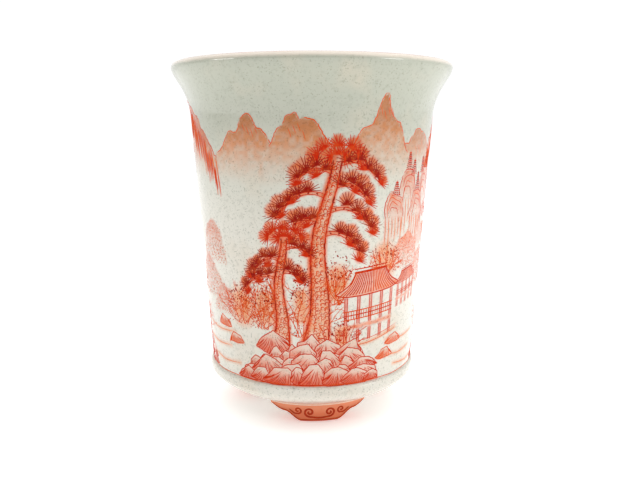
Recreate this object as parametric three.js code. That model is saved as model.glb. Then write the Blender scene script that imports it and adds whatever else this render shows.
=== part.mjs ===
// A footed brush pot: a tapered thrown wall with a flared neck, a rolled lip, a rounded base dish and three
// cloud-scroll feet luted under it. Millimetres, +Z up. The origin is on the table plane, on the pot's axis,
// and the front foot faces -Y.
import * as THREE from 'three';

// Driving dimensions
const HEIGHT = 136; // table to the top of the lip
const FOOT_HEIGHT = 8; // table to the flat underside of the base dish
const SEAT_HEIGHT = 19; // level where the wall stands on the base dish
const LIP_JOINT_HEIGHT = 129; // level where the lip coil is joined to the neck
const NECK_HEIGHT = 116; // level where the straight wall starts to flare
const WAIST_RADIUS = 40.9; // outside of the wall just above the ledge
const NECK_RADIUS = 47.4; // outside of the wall where the flare starts
const FLARE_RADIUS = 52.1; // outside of the flare at the lip joint
const FLARE_SLOPE = 0.6; // how far the flare leans out there, per millimetre of height
const LIP_RADIUS = 54.4; // widest point of the rolled lip
const LEDGE_RADIUS = 41.9; // outside of the base dish, a little proud of the wall
const WALL_THICKNESS = 4.7;
const FLOOR_THICKNESS = 7;
const ROUND_SEGMENTS = 72; // facets round every turned piece

// Base dish
const UNDERSIDE_RADIUS = 30.4; // edge of the flat underside, where the feet stand
const DISH_BULGE_HEIGHT = 16; // level where the underside's curve meets the dish's upright band
const LEDGE_ROUNDING = 1.2;
const FLOOR_COVE = 4; // fillet between the floor and the wall, inside

// Lip
const LIP_OUTER_ROUNDING = 1.8;
const LIP_INNER_ROUNDING = 3.6;
const LIP_CROWN = 1.7; // flat stretch on top of the lip

// Feet
const FOOT_ANGLES = { foot_front: 0, foot_rear_right: 120, foot_rear_left: 240 }; // degrees round from -Y
const FOOT_OUTER_TOP = 30.9;
const FOOT_OUTER_BOTTOM = 29;
const FOOT_INNER = 23.6;
const FOOT_HALF_SPAN = 37; // degrees from the foot's middle to its tip
const FOOT_FLAT_SPAN = 14.5; // degrees of flat sole either side of the middle
const FOOT_WAIST_SPAN = 25.5; // degrees from the middle to the notch between sole and lobe
const FOOT_NOTCH_HEIGHT = 3.9;
const FOOT_TIP_THICKNESS = 1.4;
const FOOT_CHAMFER = 0.8;
const FOOT_STEPS = 13; // slices in each half of a foot

// Colours
const GLAZE = 0xd9dace;
const IRON_RED = 0xe0855a;

const wallTaper = (NECK_RADIUS - WAIST_RADIUS) / (NECK_HEIGHT - SEAT_HEIGHT);
const neckInner = NECK_RADIUS - WALL_THICKNESS;
const waistInner = WAIST_RADIUS - WALL_THICKNESS;
const flareInner = FLARE_RADIUS - WALL_THICKNESS * 1.12; // the neck thickens towards the lip

const glaze = () => new THREE.MeshStandardMaterial({ color: GLAZE, roughness: 0.18, metalness: 0 });
const enamel = () => new THREE.MeshStandardMaterial({ color: IRON_RED, roughness: 0.35, metalness: 0 });

// The point where two straight lines of the profile cross, each given by a point and its outward lean.
function crossing(lower, lowerLean, upper, upperLean) {
  const rise = upper.y - lower.y;
  const above = (upper.x - lower.x - lowerLean * rise) / (upperLean - lowerLean);
  return new THREE.Vector2(upper.x - upperLean * above, upper.y - above);
}

// A solid of revolution about +Z from a profile of (radius, height) points.
function turned(name, profile, material) {
  const geometry = new THREE.LatheGeometry(profile, ROUND_SEGMENTS);
  geometry.rotateX(Math.PI / 2);
  const mesh = new THREE.Mesh(geometry, material);
  mesh.name = name;
  return mesh;
}

function wall() {
  const neck = new THREE.Vector2(NECK_RADIUS, NECK_HEIGHT);
  const joint = new THREE.Vector2(FLARE_RADIUS, LIP_JOINT_HEIGHT);
  const outerPull = crossing(neck, wallTaper, joint, FLARE_SLOPE);
  const outerFlare = new THREE.QuadraticBezierCurve(neck, outerPull, joint);

  const neckInside = new THREE.Vector2(neckInner, NECK_HEIGHT);
  const jointInside = new THREE.Vector2(flareInner, LIP_JOINT_HEIGHT);
  const innerPull = crossing(neckInside, wallTaper, jointInside, FLARE_SLOPE);
  const innerFlare = new THREE.QuadraticBezierCurve(jointInside, innerPull, neckInside);

  const seatOuter = new THREE.Vector2(WAIST_RADIUS, SEAT_HEIGHT);
  const seatInner = new THREE.Vector2(waistInner, SEAT_HEIGHT);
  const outside = [seatOuter, ...outerFlare.getPoints(7)];
  const inside = [...innerFlare.getPoints(7), seatInner, seatOuter.clone()];
  return turned('wall', [...outside, ...inside], glaze());
}

function lip() {
  const top = HEIGHT;
  const joint = new THREE.Vector2(FLARE_RADIUS, LIP_JOINT_HEIGHT);
  const shoulder = new THREE.Vector2(LIP_RADIUS, top - LIP_OUTER_ROUNDING);
  const pull = new THREE.Vector2(LIP_RADIUS, LIP_JOINT_HEIGHT + (LIP_RADIUS - FLARE_RADIUS) / FLARE_SLOPE);
  const crownOuter = LIP_RADIUS - LIP_OUTER_ROUNDING;
  const crownInner = crownOuter - LIP_CROWN;

  const section = new THREE.Path();
  section.moveTo(joint.x, joint.y);
  section.quadraticCurveTo(pull.x, pull.y, shoulder.x, shoulder.y);
  section.absarc(crownOuter, top - LIP_OUTER_ROUNDING, LIP_OUTER_ROUNDING, 0, Math.PI / 2);
  section.absarc(crownInner, top - LIP_INNER_ROUNDING, LIP_INNER_ROUNDING, Math.PI / 2, Math.PI);
  section.lineTo(flareInner, LIP_JOINT_HEIGHT);
  section.closePath();
  return turned('lip', section.getPoints(3), glaze());
}

function baseDish() {
  const floor = FOOT_HEIGHT + FLOOR_THICKNESS;
  const band = SEAT_HEIGHT - LEDGE_ROUNDING;
  const section = new THREE.Path();
  section.moveTo(0, FOOT_HEIGHT);
  section.lineTo(UNDERSIDE_RADIUS, FOOT_HEIGHT);
  section.bezierCurveTo(
    UNDERSIDE_RADIUS + 3.8, FOOT_HEIGHT + 1,
    LEDGE_RADIUS - 0.5, DISH_BULGE_HEIGHT - 2.7,
    LEDGE_RADIUS, DISH_BULGE_HEIGHT,
  );
  section.lineTo(LEDGE_RADIUS, band);
  section.absarc(LEDGE_RADIUS - LEDGE_ROUNDING, band, LEDGE_ROUNDING, 0, Math.PI / 2);
  section.lineTo(waistInner, SEAT_HEIGHT);
  section.quadraticCurveTo(waistInner - 0.3, floor, waistInner - FLOOR_COVE, floor);
  section.lineTo(0, floor);
  return turned('base_dish', section.getPoints(5), glaze());
}

// How high the foot's lower edge is at a distance from its middle: a flat sole, then an ogee that climbs to a
// notch and swells again into the end lobe.
function footEdge(degrees) {
  const away = Math.abs(degrees);
  if (away <= FOOT_FLAT_SPAN) return 0;
  if (away <= FOOT_WAIST_SPAN) {
    const along = (away - FOOT_FLAT_SPAN) / (FOOT_WAIST_SPAN - FOOT_FLAT_SPAN);
    return FOOT_NOTCH_HEIGHT * (0.35 * along + 0.65 * Math.sin((along * Math.PI) / 2) ** 2);
  }
  const along = (away - FOOT_WAIST_SPAN) / (FOOT_HALF_SPAN - FOOT_WAIST_SPAN);
  const tip = FOOT_HEIGHT - FOOT_TIP_THICKNESS;
  return FOOT_NOTCH_HEIGHT + (tip - FOOT_NOTCH_HEIGHT) * (1 - Math.cos((along * Math.PI) / 2));
}

// One slice through the foot, as points round its section.
function footSlice(degrees) {
  const low = footEdge(degrees);
  const high = FOOT_HEIGHT;
  const chamfer = Math.min(FOOT_CHAMFER, 0.4 * (high - low));
  const lean = (FOOT_OUTER_TOP - FOOT_OUTER_BOTTOM) / FOOT_HEIGHT;
  const outer = (z) => FOOT_OUTER_BOTTOM + lean * z;
  const corners = [
    [outer(high), high],
    [FOOT_INNER, high],
    [FOOT_INNER, low + chamfer],
    [FOOT_INNER + chamfer, low],
    [outer(low) - chamfer, low],
    [outer(low + chamfer), low + chamfer],
  ];
  const turn = THREE.MathUtils.degToRad(degrees);
  return corners.map(([r, z]) => new THREE.Vector3(r * Math.sin(turn), -r * Math.cos(turn), z));
}

// A closed solid through a row of slices with the same number of corners.
function lofted(slices) {
  const corners = slices[0].length;
  const positions = slices.flat().flatMap((point) => point.toArray());
  const faces = [];
  for (let s = 0; s < slices.length - 1; s += 1) {
    for (let c = 0; c < corners; c += 1) {
      const a = s * corners + c;
      const b = s * corners + ((c + 1) % corners);
      faces.push(a, a + corners, b, b, a + corners, b + corners);
    }
  }
  const last = (slices.length - 1) * corners;
  for (let c = 1; c < corners - 1; c += 1) {
    faces.push(0, c, c + 1);
    faces.push(last, last + c + 1, last + c);
  }
  const geometry = new THREE.BufferGeometry();
  geometry.setAttribute('position', new THREE.Float32BufferAttribute(positions, 3));
  geometry.setIndex(faces);
  geometry.computeVertexNormals();
  return geometry;
}

function foot(name, degreesRound) {
  const slices = [];
  for (let step = -FOOT_STEPS; step <= FOOT_STEPS; step += 1) {
    slices.push(footSlice((FOOT_HALF_SPAN * step) / FOOT_STEPS));
  }
  const mesh = new THREE.Mesh(lofted(slices), enamel());
  mesh.name = name;
  mesh.rotation.z = THREE.MathUtils.degToRad(degreesRound);
  return mesh;
}

const pot = new THREE.Group();
pot.add(wall(), lip(), baseDish());
for (const [name, degreesRound] of Object.entries(FOOT_ANGLES)) {
  pot.add(foot(name, degreesRound));
}

export default pot;
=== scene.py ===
# %% [markdown]
# # A footed brush pot painted in iron red
# The real pot is a thrown clay wall with a rolled lip, standing on a rounded base dish with three
# cloud-shaped feet. It has a pale grey-green glaze, and a landscape painted over the glaze in iron-red
# enamel: thin raised lines, and washes of the same colour let down with water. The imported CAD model
# gives the main sizes, and this file gives the surfaces: first the turned clay, then the glaze, then
# the painting, stroke by stroke.

# %% Load the frame
import math

import bmesh
import bpy
import numpy as np
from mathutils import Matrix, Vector


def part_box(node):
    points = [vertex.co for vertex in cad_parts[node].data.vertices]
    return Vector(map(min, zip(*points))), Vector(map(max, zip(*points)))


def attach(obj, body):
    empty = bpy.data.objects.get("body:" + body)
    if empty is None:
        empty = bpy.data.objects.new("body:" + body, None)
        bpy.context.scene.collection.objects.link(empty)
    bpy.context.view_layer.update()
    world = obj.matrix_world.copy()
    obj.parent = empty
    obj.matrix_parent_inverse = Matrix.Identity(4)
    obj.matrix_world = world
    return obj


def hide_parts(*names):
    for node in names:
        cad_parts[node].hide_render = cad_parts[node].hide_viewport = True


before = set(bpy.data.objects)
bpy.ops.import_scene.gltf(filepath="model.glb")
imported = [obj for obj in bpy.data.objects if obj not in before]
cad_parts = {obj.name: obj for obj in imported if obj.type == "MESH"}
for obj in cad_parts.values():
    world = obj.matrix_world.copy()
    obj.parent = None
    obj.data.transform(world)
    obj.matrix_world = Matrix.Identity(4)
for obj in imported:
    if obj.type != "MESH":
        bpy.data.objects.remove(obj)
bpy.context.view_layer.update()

# %% [markdown]
# ## Sizes
# Everything is worked out in millimetres and turned into metres when a mesh is made. The levels and
# radii come from the CAD pieces' boxes. The wall leans out steadily, and from the neck up it also
# flares as a parabola. Its outline could be copied point by point from the CAD mesh, but a short
# formula is better here: it gives the radius at any height, and the painting needs that to lie on the
# wall.

# %% Read the sizes off the frame
MM = 0.001


def box_mm(node):
    """A CAD piece's lowest and highest corners in millimetres."""
    low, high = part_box(node)
    return np.array(low) / MM, np.array(high) / MM


(_, _, SEAT), (FLARE_RADIUS, _, LIP_JOINT) = box_mm("wall")
(_, _, _), (LIP_RADIUS, _, TOP) = box_mm("lip")
(_, _, DISH_BOTTOM), (LEDGE_RADIUS, _, _) = box_mm("base_dish")
WAIST_RADIUS = LEDGE_RADIUS - 1.0  # the wall stands a millimetre inside the ledge
NECK = SEAT + 97.0  # where the flare starts
TAPER = 0.067  # how far the wall leans out for each millimetre of height
FLARE = (FLARE_RADIUS - WAIST_RADIUS - TAPER * (LIP_JOINT - SEAT)) / (LIP_JOINT - NECK) ** 2
WALL_THICKNESS = 4.7


def wall_radius(height):
    """Outside radius of the wall at a height, both in millimetres."""
    flare = np.maximum(height - NECK, 0.0)
    return WAIST_RADIUS + TAPER * (height - SEAT) + FLARE * flare**2


print("wall radius at seat and lip joint, mm:", wall_radius(np.array([SEAT, LIP_JOINT])).round(2))

# %% [markdown]
# ## The camera
# The pot is seen from close by, from a little below the level of its rim, so that the lip is seen from
# below and the ledge and the foot from above. A long lens from far away would flatten those curves into
# straight lines. A short distance with a fairly wide lens keeps them.

# %% Set up the camera
camera = bpy.data.objects.new("camera", bpy.data.cameras.new("camera"))
bpy.context.scene.collection.objects.link(camera)
bpy.context.scene.camera = camera
camera.data.lens = 38.5
CAMERA_PLACE = np.array([-27.1, -269.5, 113.0])
CAMERA_DOWN = math.radians(9.7)
CAMERA_TURN = math.radians(5.8)
camera.location = CAMERA_PLACE * MM
camera.rotation_euler = (math.pi / 2 - CAMERA_DOWN, 0.0, -CAMERA_TURN)
camera.data.clip_start = 0.01
camera_reach = round(float(np.hypot(*CAMERA_PLACE[:2])))
print("camera is", camera_reach, "mm from the axis and", CAMERA_PLACE[2], "mm up")

# %% [markdown]
# ## Helpers for trees
# Geometry Nodes and materials are both node trees. They could be drawn in the node editor, but in a
# script every link is a line that can be read, changed and run again. One small function adds a node
# and sets its inputs, and another runs a finished Geometry Nodes tree on a host mesh and hands back a
# plain mesh object.

# %% Define the node helpers


def add_node(tree, kind, settings=None, **inputs):
    """Adds a node and sets its properties and inputs, each to a value or another node's output.

    An input is given by its name, with _ for a space, or by its number, as i0 or i1.
    """
    node = tree.nodes.new(kind)
    for name, value in (settings or {}).items():
        setattr(node, name, value)
    for name, value in inputs.items():
        index = int(name[1:]) if name[0] == "i" and name[1:].isdigit() else name.replace("_", " ")
        socket = node.inputs[index]
        if isinstance(value, bpy.types.NodeSocket):
            tree.links.new(value, socket)
        else:
            socket.default_value = value
    return node


def math_node(tree, operation, *values):
    """Adds a Math node and returns its output."""
    node = tree.nodes.new("ShaderNodeMath")
    node.operation = operation
    for socket, value in zip(node.inputs, values):
        if isinstance(value, bpy.types.NodeSocket):
            tree.links.new(value, socket)
        else:
            socket.default_value = value
    return node.outputs[0]


def new_tree(name, inputs):
    """A Geometry Nodes tree with a geometry in and out and the named inputs."""
    tree = bpy.data.node_groups.new(name, "GeometryNodeTree")
    face = tree.interface
    face.new_socket("Geometry", in_out="INPUT", socket_type="NodeSocketGeometry")
    face.new_socket("Geometry", in_out="OUTPUT", socket_type="NodeSocketGeometry")
    for label, kind, default in inputs:
        socket = face.new_socket(label, in_out="INPUT", socket_type="NodeSocket" + kind)
        if default is not None:
            socket.default_value = default
    group_in = tree.nodes.new("NodeGroupInput")
    group_out = tree.nodes.new("NodeGroupOutput")
    return tree, group_in, group_out


# %% Run a tree on a host


def run_tree(name, host, tree, **values):
    """Runs a tree on a host mesh and returns the result as a plain mesh object with that name."""
    maker = bpy.data.objects.new(name + "_maker", host)
    bpy.context.scene.collection.objects.link(maker)
    modifier = maker.modifiers.new("maker", "NODES")
    modifier.node_group = tree
    labels = [item for item in tree.interface.items_tree if item.in_out == "INPUT"]
    sockets = {item.name: item.identifier for item in labels}
    for label, value in values.items():
        modifier[sockets[label.replace("_", " ")]] = value
    graph = bpy.context.evaluated_depsgraph_get()
    made = bpy.data.meshes.new_from_object(maker.evaluated_get(graph))
    bpy.data.objects.remove(maker)
    piece = bpy.data.objects.new(name, made)
    made.name = name
    bpy.context.scene.collection.objects.link(piece)
    return piece


# %% Finish and measure a piece


def face_outwards(piece):
    """Turns every face of a closed piece to point out."""
    shape = bmesh.new()
    shape.from_mesh(piece.data)
    bmesh.ops.recalc_face_normals(shape, faces=shape.faces)
    shape.to_mesh(piece.data)
    shape.free()


def shade_smooth(piece, sharp_from):
    """Smooth shading, except at edges that bend by more than this many degrees."""
    piece.data.polygons.foreach_set("use_smooth", np.ones(len(piece.data.polygons), bool))
    piece.data.set_sharp_from_angle(angle=math.radians(sharp_from))


def report(piece):
    """Prints a piece's size in millimetres and its triangle count."""
    piece.data.calc_loop_triangles()
    spot = np.empty(len(piece.data.vertices) * 3)
    piece.data.vertices.foreach_get("co", spot)
    spot = spot.reshape(-1, 3) / MM
    print(piece.name, "mm", np.ptp(spot, axis=0).round(1), "triangles", len(piece.data.loop_triangles))


def seat_piece(piece, node):
    """Hangs a piece on the root body and hides the CAD node that it replaces."""
    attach(piece, "root")
    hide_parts(node)


# %% [markdown]
# ## The turned clay
# The wall, the lip and the base dish are all thrown on a wheel, so each is one outline spun about the
# axis. A Screw modifier or a spin in mesh code could do it. A Geometry Nodes tree was chosen because
# the number of columns and the material are then its inputs. It takes a grid, reads the outline's
# radius and height for each row, and wraps the columns round the circle. The outlines close on
# themselves, so every piece comes out as a closed solid.

# %% Build the spinning tree


def build_turning_tree():
    """Spins the host's points, a closed outline in X (radius) and Z (height), about the Z axis."""
    inputs = [("Columns", "Int", 64), ("Clay", "Material", None)]
    tree, group_in, group_out = new_tree("turned_clay", inputs)
    rows = add_node(tree, "GeometryNodeAttributeDomainSize", {"component": "MESH"})
    tree.links.new(group_in.outputs["Geometry"], rows.inputs[0])
    columns = math_node(tree, "ADD", group_in.outputs["Columns"], 1.0)
    grid = add_node(tree, "GeometryNodeMeshGrid", Size_X=1.0, Size_Y=1.0, Vertices_X=columns)
    tree.links.new(rows.outputs["Point Count"], grid.inputs["Vertices Y"])
    place = add_node(tree, "GeometryNodeInputPosition")
    part = add_node(tree, "ShaderNodeSeparateXYZ", i0=place.outputs[0])
    turn = math_node(tree, "MULTIPLY", math_node(tree, "ADD", part.outputs["X"], 0.5), 2 * math.pi)
    last_row = math_node(tree, "SUBTRACT", rows.outputs["Point Count"], 1.0)
    row = math_node(tree, "MULTIPLY", math_node(tree, "ADD", part.outputs["Y"], 0.5), last_row)
    row = math_node(tree, "ROUND", row)
    sample = add_node(tree, "GeometryNodeSampleIndex", {"data_type": "FLOAT_VECTOR"})
    tree.links.new(group_in.outputs["Geometry"], sample.inputs["Geometry"])
    tree.links.new(place.outputs[0], sample.inputs["Value"])
    tree.links.new(row, sample.inputs["Index"])
    outline = add_node(tree, "ShaderNodeSeparateXYZ", i0=sample.outputs[0])
    to_right = math_node(tree, "SINE", turn)
    to_front = math_node(tree, "MULTIPLY", math_node(tree, "COSINE", turn), -1.0)
    spot = add_node(
        tree, "ShaderNodeCombineXYZ",
        X=math_node(tree, "MULTIPLY", outline.outputs["X"], to_right),
        Y=math_node(tree, "MULTIPLY", outline.outputs["X"], to_front),
        Z=outline.outputs["Z"],
    ).outputs[0]
    spun = add_node(tree, "GeometryNodeSetPosition", Geometry=grid.outputs["Mesh"], Position=spot)
    welded = add_node(tree, "GeometryNodeMergeByDistance", Geometry=spun.outputs[0], Distance=1e-6)
    real = add_node(tree, "GeometryNodeRealizeInstances", Geometry=welded.outputs[0])
    glazed = add_node(tree, "GeometryNodeSetMaterial", i0=real.outputs[0], Material=group_in.outputs["Clay"])
    tree.links.new(glazed.outputs[0], group_out.inputs[0])
    return tree


turning_tree = build_turning_tree()
print("nodes in the spinning tree:", len(turning_tree.nodes))

# %% Draw outlines and turn them


def arc(centre_radius, centre_height, size, start, end, steps):
    """Points of a round corner of an outline, with angles in degrees from straight out."""
    angles = np.radians(np.linspace(start, end, steps))
    return np.stack([np.cos(angles), np.sin(angles)], axis=1) * size + [centre_radius, centre_height]


def bezier(points, steps):
    """Points along a quadratic or cubic curve given by its control points."""
    points = np.array(points, float)
    share = np.linspace(0.0, 1.0, steps)[:, None]
    while len(points) > 1:
        points = [(1 - share) * a + share * b for a, b in zip(points[:-1], points[1:])]
    return points[0]


def turned(name, outline, columns, clay):
    """A turned piece from its closed outline of (radius, height) points in millimetres."""
    outline = np.array(outline, float) * MM
    host = bpy.data.meshes.new(name + "_outline")
    host.from_pydata([(radius, 0.0, height) for radius, height in outline], [], [])
    piece = run_tree(name, host, turning_tree, Columns=columns, Clay=clay)
    face_outwards(piece)
    shade_smooth(piece, 40)
    report(piece)
    return piece


# %% [markdown]
# ## The glaze
# The glaze is a clear pale grey-green glass over buff clay. Close up it is full of tiny grey-green flecks and
# short hair marks. It is greener where it runs thick under the lip, and there it is also darkened as painted
# shade under the flared lip. Its surface has a slow ripple that bends the lights. A picture wrapped round the
# pot would show a seam. Noise textures on Object coordinates have none, and the glaze runs on from piece to
# piece.

# %% Pick the glaze colours


def shade(red, green, blue):
    """A colour as a person picks it on screen, 0 to 255, turned into the linear values the shader wants."""
    value = np.array([red, green, blue]) / 255.0
    linear = np.where(value <= 0.04045, value / 12.92, ((value + 0.055) / 1.055) ** 2.4)
    return (*linear, 1.0)


GLAZE_LIGHT = shade(224, 220, 208)
GLAZE_THICK_AND_SHADED = shade(180, 183, 167)  # where it runs thick towards the neck, and darker there as painted shade under the flared lip
GLAZE_WARM = shade(214, 198, 174)  # where the clay shows through
FLECK = shade(138, 140, 122)
print("glaze at its palest, linear:", np.round(GLAZE_LIGHT[:3], 3))

# %% Define the material helpers


def new_material(name):
    """An empty node material with its shader, its output and an Object coordinate node."""
    material = bpy.data.materials.new(name)
    material.use_nodes = True
    tree = material.node_tree
    tree.nodes.clear()
    shader = tree.nodes.new("ShaderNodeBsdfPrincipled")
    output = tree.nodes.new("ShaderNodeOutputMaterial")
    tree.links.new(shader.outputs[0], output.inputs["Surface"])
    return material, tree, shader, tree.nodes.new("ShaderNodeTexCoord").outputs["Object"]


def mix_colour(tree, share, first, second, blend="MIX"):
    """Adds a Mix node for colours and returns its output."""
    node = tree.nodes.new("ShaderNodeMix")
    node.data_type = "RGBA"
    node.blend_type = blend
    for index, value in ((0, share), (6, first), (7, second)):
        if isinstance(value, bpy.types.NodeSocket):
            tree.links.new(value, node.inputs[index])
        else:
            node.inputs[index].default_value = value
    return node.outputs[2]


def step_between(tree, value, low, high):
    """A smooth step from 0 at low to 1 at high."""
    node = add_node(tree, "ShaderNodeMapRange", {"interpolation_type": "SMOOTHSTEP"}, Value=value)
    node.inputs["From Min"].default_value = low
    node.inputs["From Max"].default_value = high
    return node.outputs[0]


def noise(tree, place, scale, detail):
    """A noise texture on Object coordinates, from 0 to 1. A higher scale gives smaller marks."""
    return add_node(tree, "ShaderNodeTexNoise", Vector=place, Scale=scale, Detail=detail).outputs["Fac"]


# %% Colour the glaze


def glaze_colour(tree, place):
    """The colour of the bare glaze at a place on the pot: painted shade towards the neck, slow drifts, flecks
    and hair marks.
    """
    height = add_node(tree, "ShaderNodeSeparateXYZ", i0=place).outputs["Z"]
    # Deeper and darker towards the neck, with slow drifts: thicker glaze, and painted shade under the flared
    # lip
    drift = math_node(tree, "MULTIPLY", noise(tree, place, 28.0, 3.0), 0.3)
    depth = math_node(tree, "ADD", step_between(tree, height, 0.06, 0.132), drift)
    base = mix_colour(tree, math_node(tree, "SUBTRACT", depth, 0.12), GLAZE_LIGHT, GLAZE_THICK_AND_SHADED)
    # A few warm patches
    warmth = math_node(tree, "MULTIPLY", step_between(tree, noise(tree, place, 55.0, 2.0), 0.5, 0.75), 0.35)
    base = mix_colour(tree, warmth, base, GLAZE_WARM)
    # Soft mottle
    mottle = math_node(tree, "MULTIPLY", step_between(tree, noise(tree, place, 620.0, 3.0), 0.5, 0.72), 0.22)
    base = mix_colour(tree, mottle, base, FLECK)
    # Small hard flecks, crowded together in places
    fleck = noise(tree, place, 1700.0, 1.0)
    crowded = math_node(tree, "MULTIPLY_ADD", noise(tree, place, 180.0, 1.0), 0.1, fleck)
    speckle = math_node(tree, "MULTIPLY", step_between(tree, crowded, 0.65, 0.77), 0.55)
    base = mix_colour(tree, speckle, base, FLECK)
    # Hair marks: the hearts of one drawn-out cell in five
    slant = add_node(tree, "ShaderNodeMapping", Vector=place)
    slant.inputs["Rotation"].default_value = (0.5, 0.9, 0.3)
    slant.inputs["Scale"].default_value = (1.0, 1.0, 0.22)
    hair = add_node(tree, "ShaderNodeTexVoronoi", {"feature": "F1"}, Vector=slant.outputs[0], Scale=420.0)
    lot = add_node(tree, "ShaderNodeSeparateColor", i0=hair.outputs["Color"]).outputs[0]
    chosen = math_node(tree, "GREATER_THAN", lot, 0.8)
    mark = math_node(tree, "MULTIPLY", chosen, math_node(tree, "LESS_THAN", hair.outputs["Distance"], 0.1))
    return mix_colour(tree, math_node(tree, "MULTIPLY", mark, 0.35), base, FLECK)


# %% Finish the glaze


def glaze_finish(tree, shader, place):
    """The glassy surface: a slow ripple and a fine dimpling, under a hard clear gloss."""
    dimple = math_node(tree, "MULTIPLY", noise(tree, place, 700.0, 1.0), 0.06)
    relief = math_node(tree, "ADD", noise(tree, place, 60.0, 2.0), dimple)
    bump = add_node(tree, "ShaderNodeBump", Height=relief, Strength=0.5, Distance=0.0006)
    tree.links.new(bump.outputs[0], shader.inputs["Normal"])
    rough = add_node(tree, "ShaderNodeMapRange", Value=noise(tree, place, 90.0, 3.0))
    rough.inputs["To Min"].default_value = 0.1
    rough.inputs["To Max"].default_value = 0.24
    tree.links.new(rough.outputs[0], shader.inputs["Roughness"])
    shader.inputs["IOR"].default_value = 1.5
    shader.inputs["Coat Weight"].default_value = 0.25
    shader.inputs["Coat Roughness"].default_value = 0.04


def make_glaze(name, painted):
    """Glaze, with the washes of the painting multiplied into it where the piece is painted."""
    material, tree, shader, place = new_material(name)
    colour = glaze_colour(tree, place)
    if painted:
        wash = add_node(tree, "ShaderNodeAttribute", {"attribute_name": "wash"}).outputs["Color"]
        colour = mix_colour(tree, 1.0, colour, wash, "MULTIPLY")
    tree.links.new(colour, shader.inputs["Base Color"])
    glaze_finish(tree, shader, place)
    return material


wall_glaze = make_glaze("painted_glaze", True)
plain_glaze = make_glaze("base_glaze", False)
print("glaze nodes, painted and plain:", len(wall_glaze.node_tree.nodes), len(plain_glaze.node_tree.nodes))

# %% [markdown]
# ## The wall
# The wall is one thrown ring, slightly tapered, with a flared neck. The painting's soft washes could be
# a second skin over it, but they have no thickness of their own, so they are a colour held at every
# point of the wall's mesh. That is why the outside has a fine even grid of rows and columns. The inside
# only needs a few rows.

# %% Turn the wall
ROW_STEP = 0.66  # millimetres between rows of the painted outside
WALL_COLUMNS = 440


def wall_outline():
    """Up the outside in fine rows, over the lip joint, and down the inside in coarse ones."""
    outside_heights = np.linspace(SEAT, LIP_JOINT, int((LIP_JOINT - SEAT) / ROW_STEP))
    outside = np.stack([wall_radius(outside_heights), outside_heights], axis=1)
    inside_heights = np.array([*np.linspace(LIP_JOINT, NECK, 9), *np.linspace(NECK, SEAT, 8)[1:]])
    inside = np.stack([wall_radius(inside_heights) - WALL_THICKNESS, inside_heights], axis=1)
    return [*outside, *inside, outside[0]]


wall = turned("pot_wall", wall_outline(), WALL_COLUMNS, wall_glaze)

# %% [markdown]
# ## The lip
# The lip is a coil pressed onto the flare and rolled over. Its crown is painted a faint iron red, which from
# the side shows only as a thin line. Just under it a pale warm band is painted into the glaze as a highlight,
# for the light caught by the rolled edge. Both could be rings of mesh. They are thinner than the glaze
# itself, so the material draws them, by height.

# %% Glaze the lip
LIP_HIGHLIGHT_BAND = shade(246, 232, 216)  # painted highlight: a pale warm band where the rolled edge catches the light
CROWN_COLOUR = shade(204, 138, 112)  # the faint red of the crown


def make_lip_glaze():
    """Glaze with the painted crown and, under it, a pale warm band of painted highlight, both set by height.
    """
    material, tree, shader, place = new_material("lip_glaze")
    height = add_node(tree, "ShaderNodeSeparateXYZ", i0=place).outputs["Z"]
    wobble = math_node(tree, "SUBTRACT", noise(tree, place, 120.0, 2.0), 0.5)
    height = math_node(tree, "MULTIPLY_ADD", wobble, 0.0005, height)
    band = step_between(tree, height, (TOP - 2.2) * MM, (TOP - 0.8) * MM)
    crown = step_between(tree, height, (TOP - 0.34) * MM, (TOP - 0.14) * MM)
    band = math_node(tree, "MULTIPLY", band, 0.85)
    crown = math_node(tree, "MULTIPLY", crown, 0.7)
    colour = mix_colour(tree, band, glaze_colour(tree, place), LIP_HIGHLIGHT_BAND)
    colour = mix_colour(tree, crown, colour, CROWN_COLOUR)
    tree.links.new(colour, shader.inputs["Base Color"])
    glaze_finish(tree, shader, place)
    return material


# %% Turn the lip
LIP_COLUMNS = 360


def lip_outline():
    """Up the flare, round the outer edge, over the crown, round the inner edge and down."""
    outer_rounding, inner_rounding, crown = 2.1, 3.6, 1.4
    slope = TAPER + 2 * FLARE * (LIP_JOINT - NECK)
    flare_top = (LIP_RADIUS, LIP_JOINT + (LIP_RADIUS - FLARE_RADIUS) / slope)
    flare = bezier([(FLARE_RADIUS, LIP_JOINT), flare_top, (LIP_RADIUS, TOP - outer_rounding)], 14)
    outer = arc(LIP_RADIUS - outer_rounding, TOP - outer_rounding, outer_rounding, 0, 90, 12)
    inner_centre = LIP_RADIUS - outer_rounding - crown
    inner = arc(inner_centre, TOP - inner_rounding, inner_rounding, 90, 180, 14)
    foot_of_lip = (FLARE_RADIUS - WALL_THICKNESS, LIP_JOINT)
    return [*flare, *outer[1:], *inner, foot_of_lip, flare[0]]


lip = turned("pot_lip", lip_outline(), LIP_COLUMNS, make_lip_glaze())

# %% [markdown]
# ## The base dish
# The base is a shallow round dish. The wall stands on its rim and leaves a narrow ledge, and below the
# ledge the side rolls under to the flat where the feet are pressed on. A circle's arc would be too even
# for that roll, so it is a Bezier curve.

# %% Turn the base dish
DISH_COLUMNS = 300
UNDERSIDE_RADIUS = 30.4
BULGE_LEVEL = SEAT - 3.0  # where the side starts to roll under
FLOOR = DISH_BOTTOM + 7.0  # the pot's floor, inside


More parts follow.
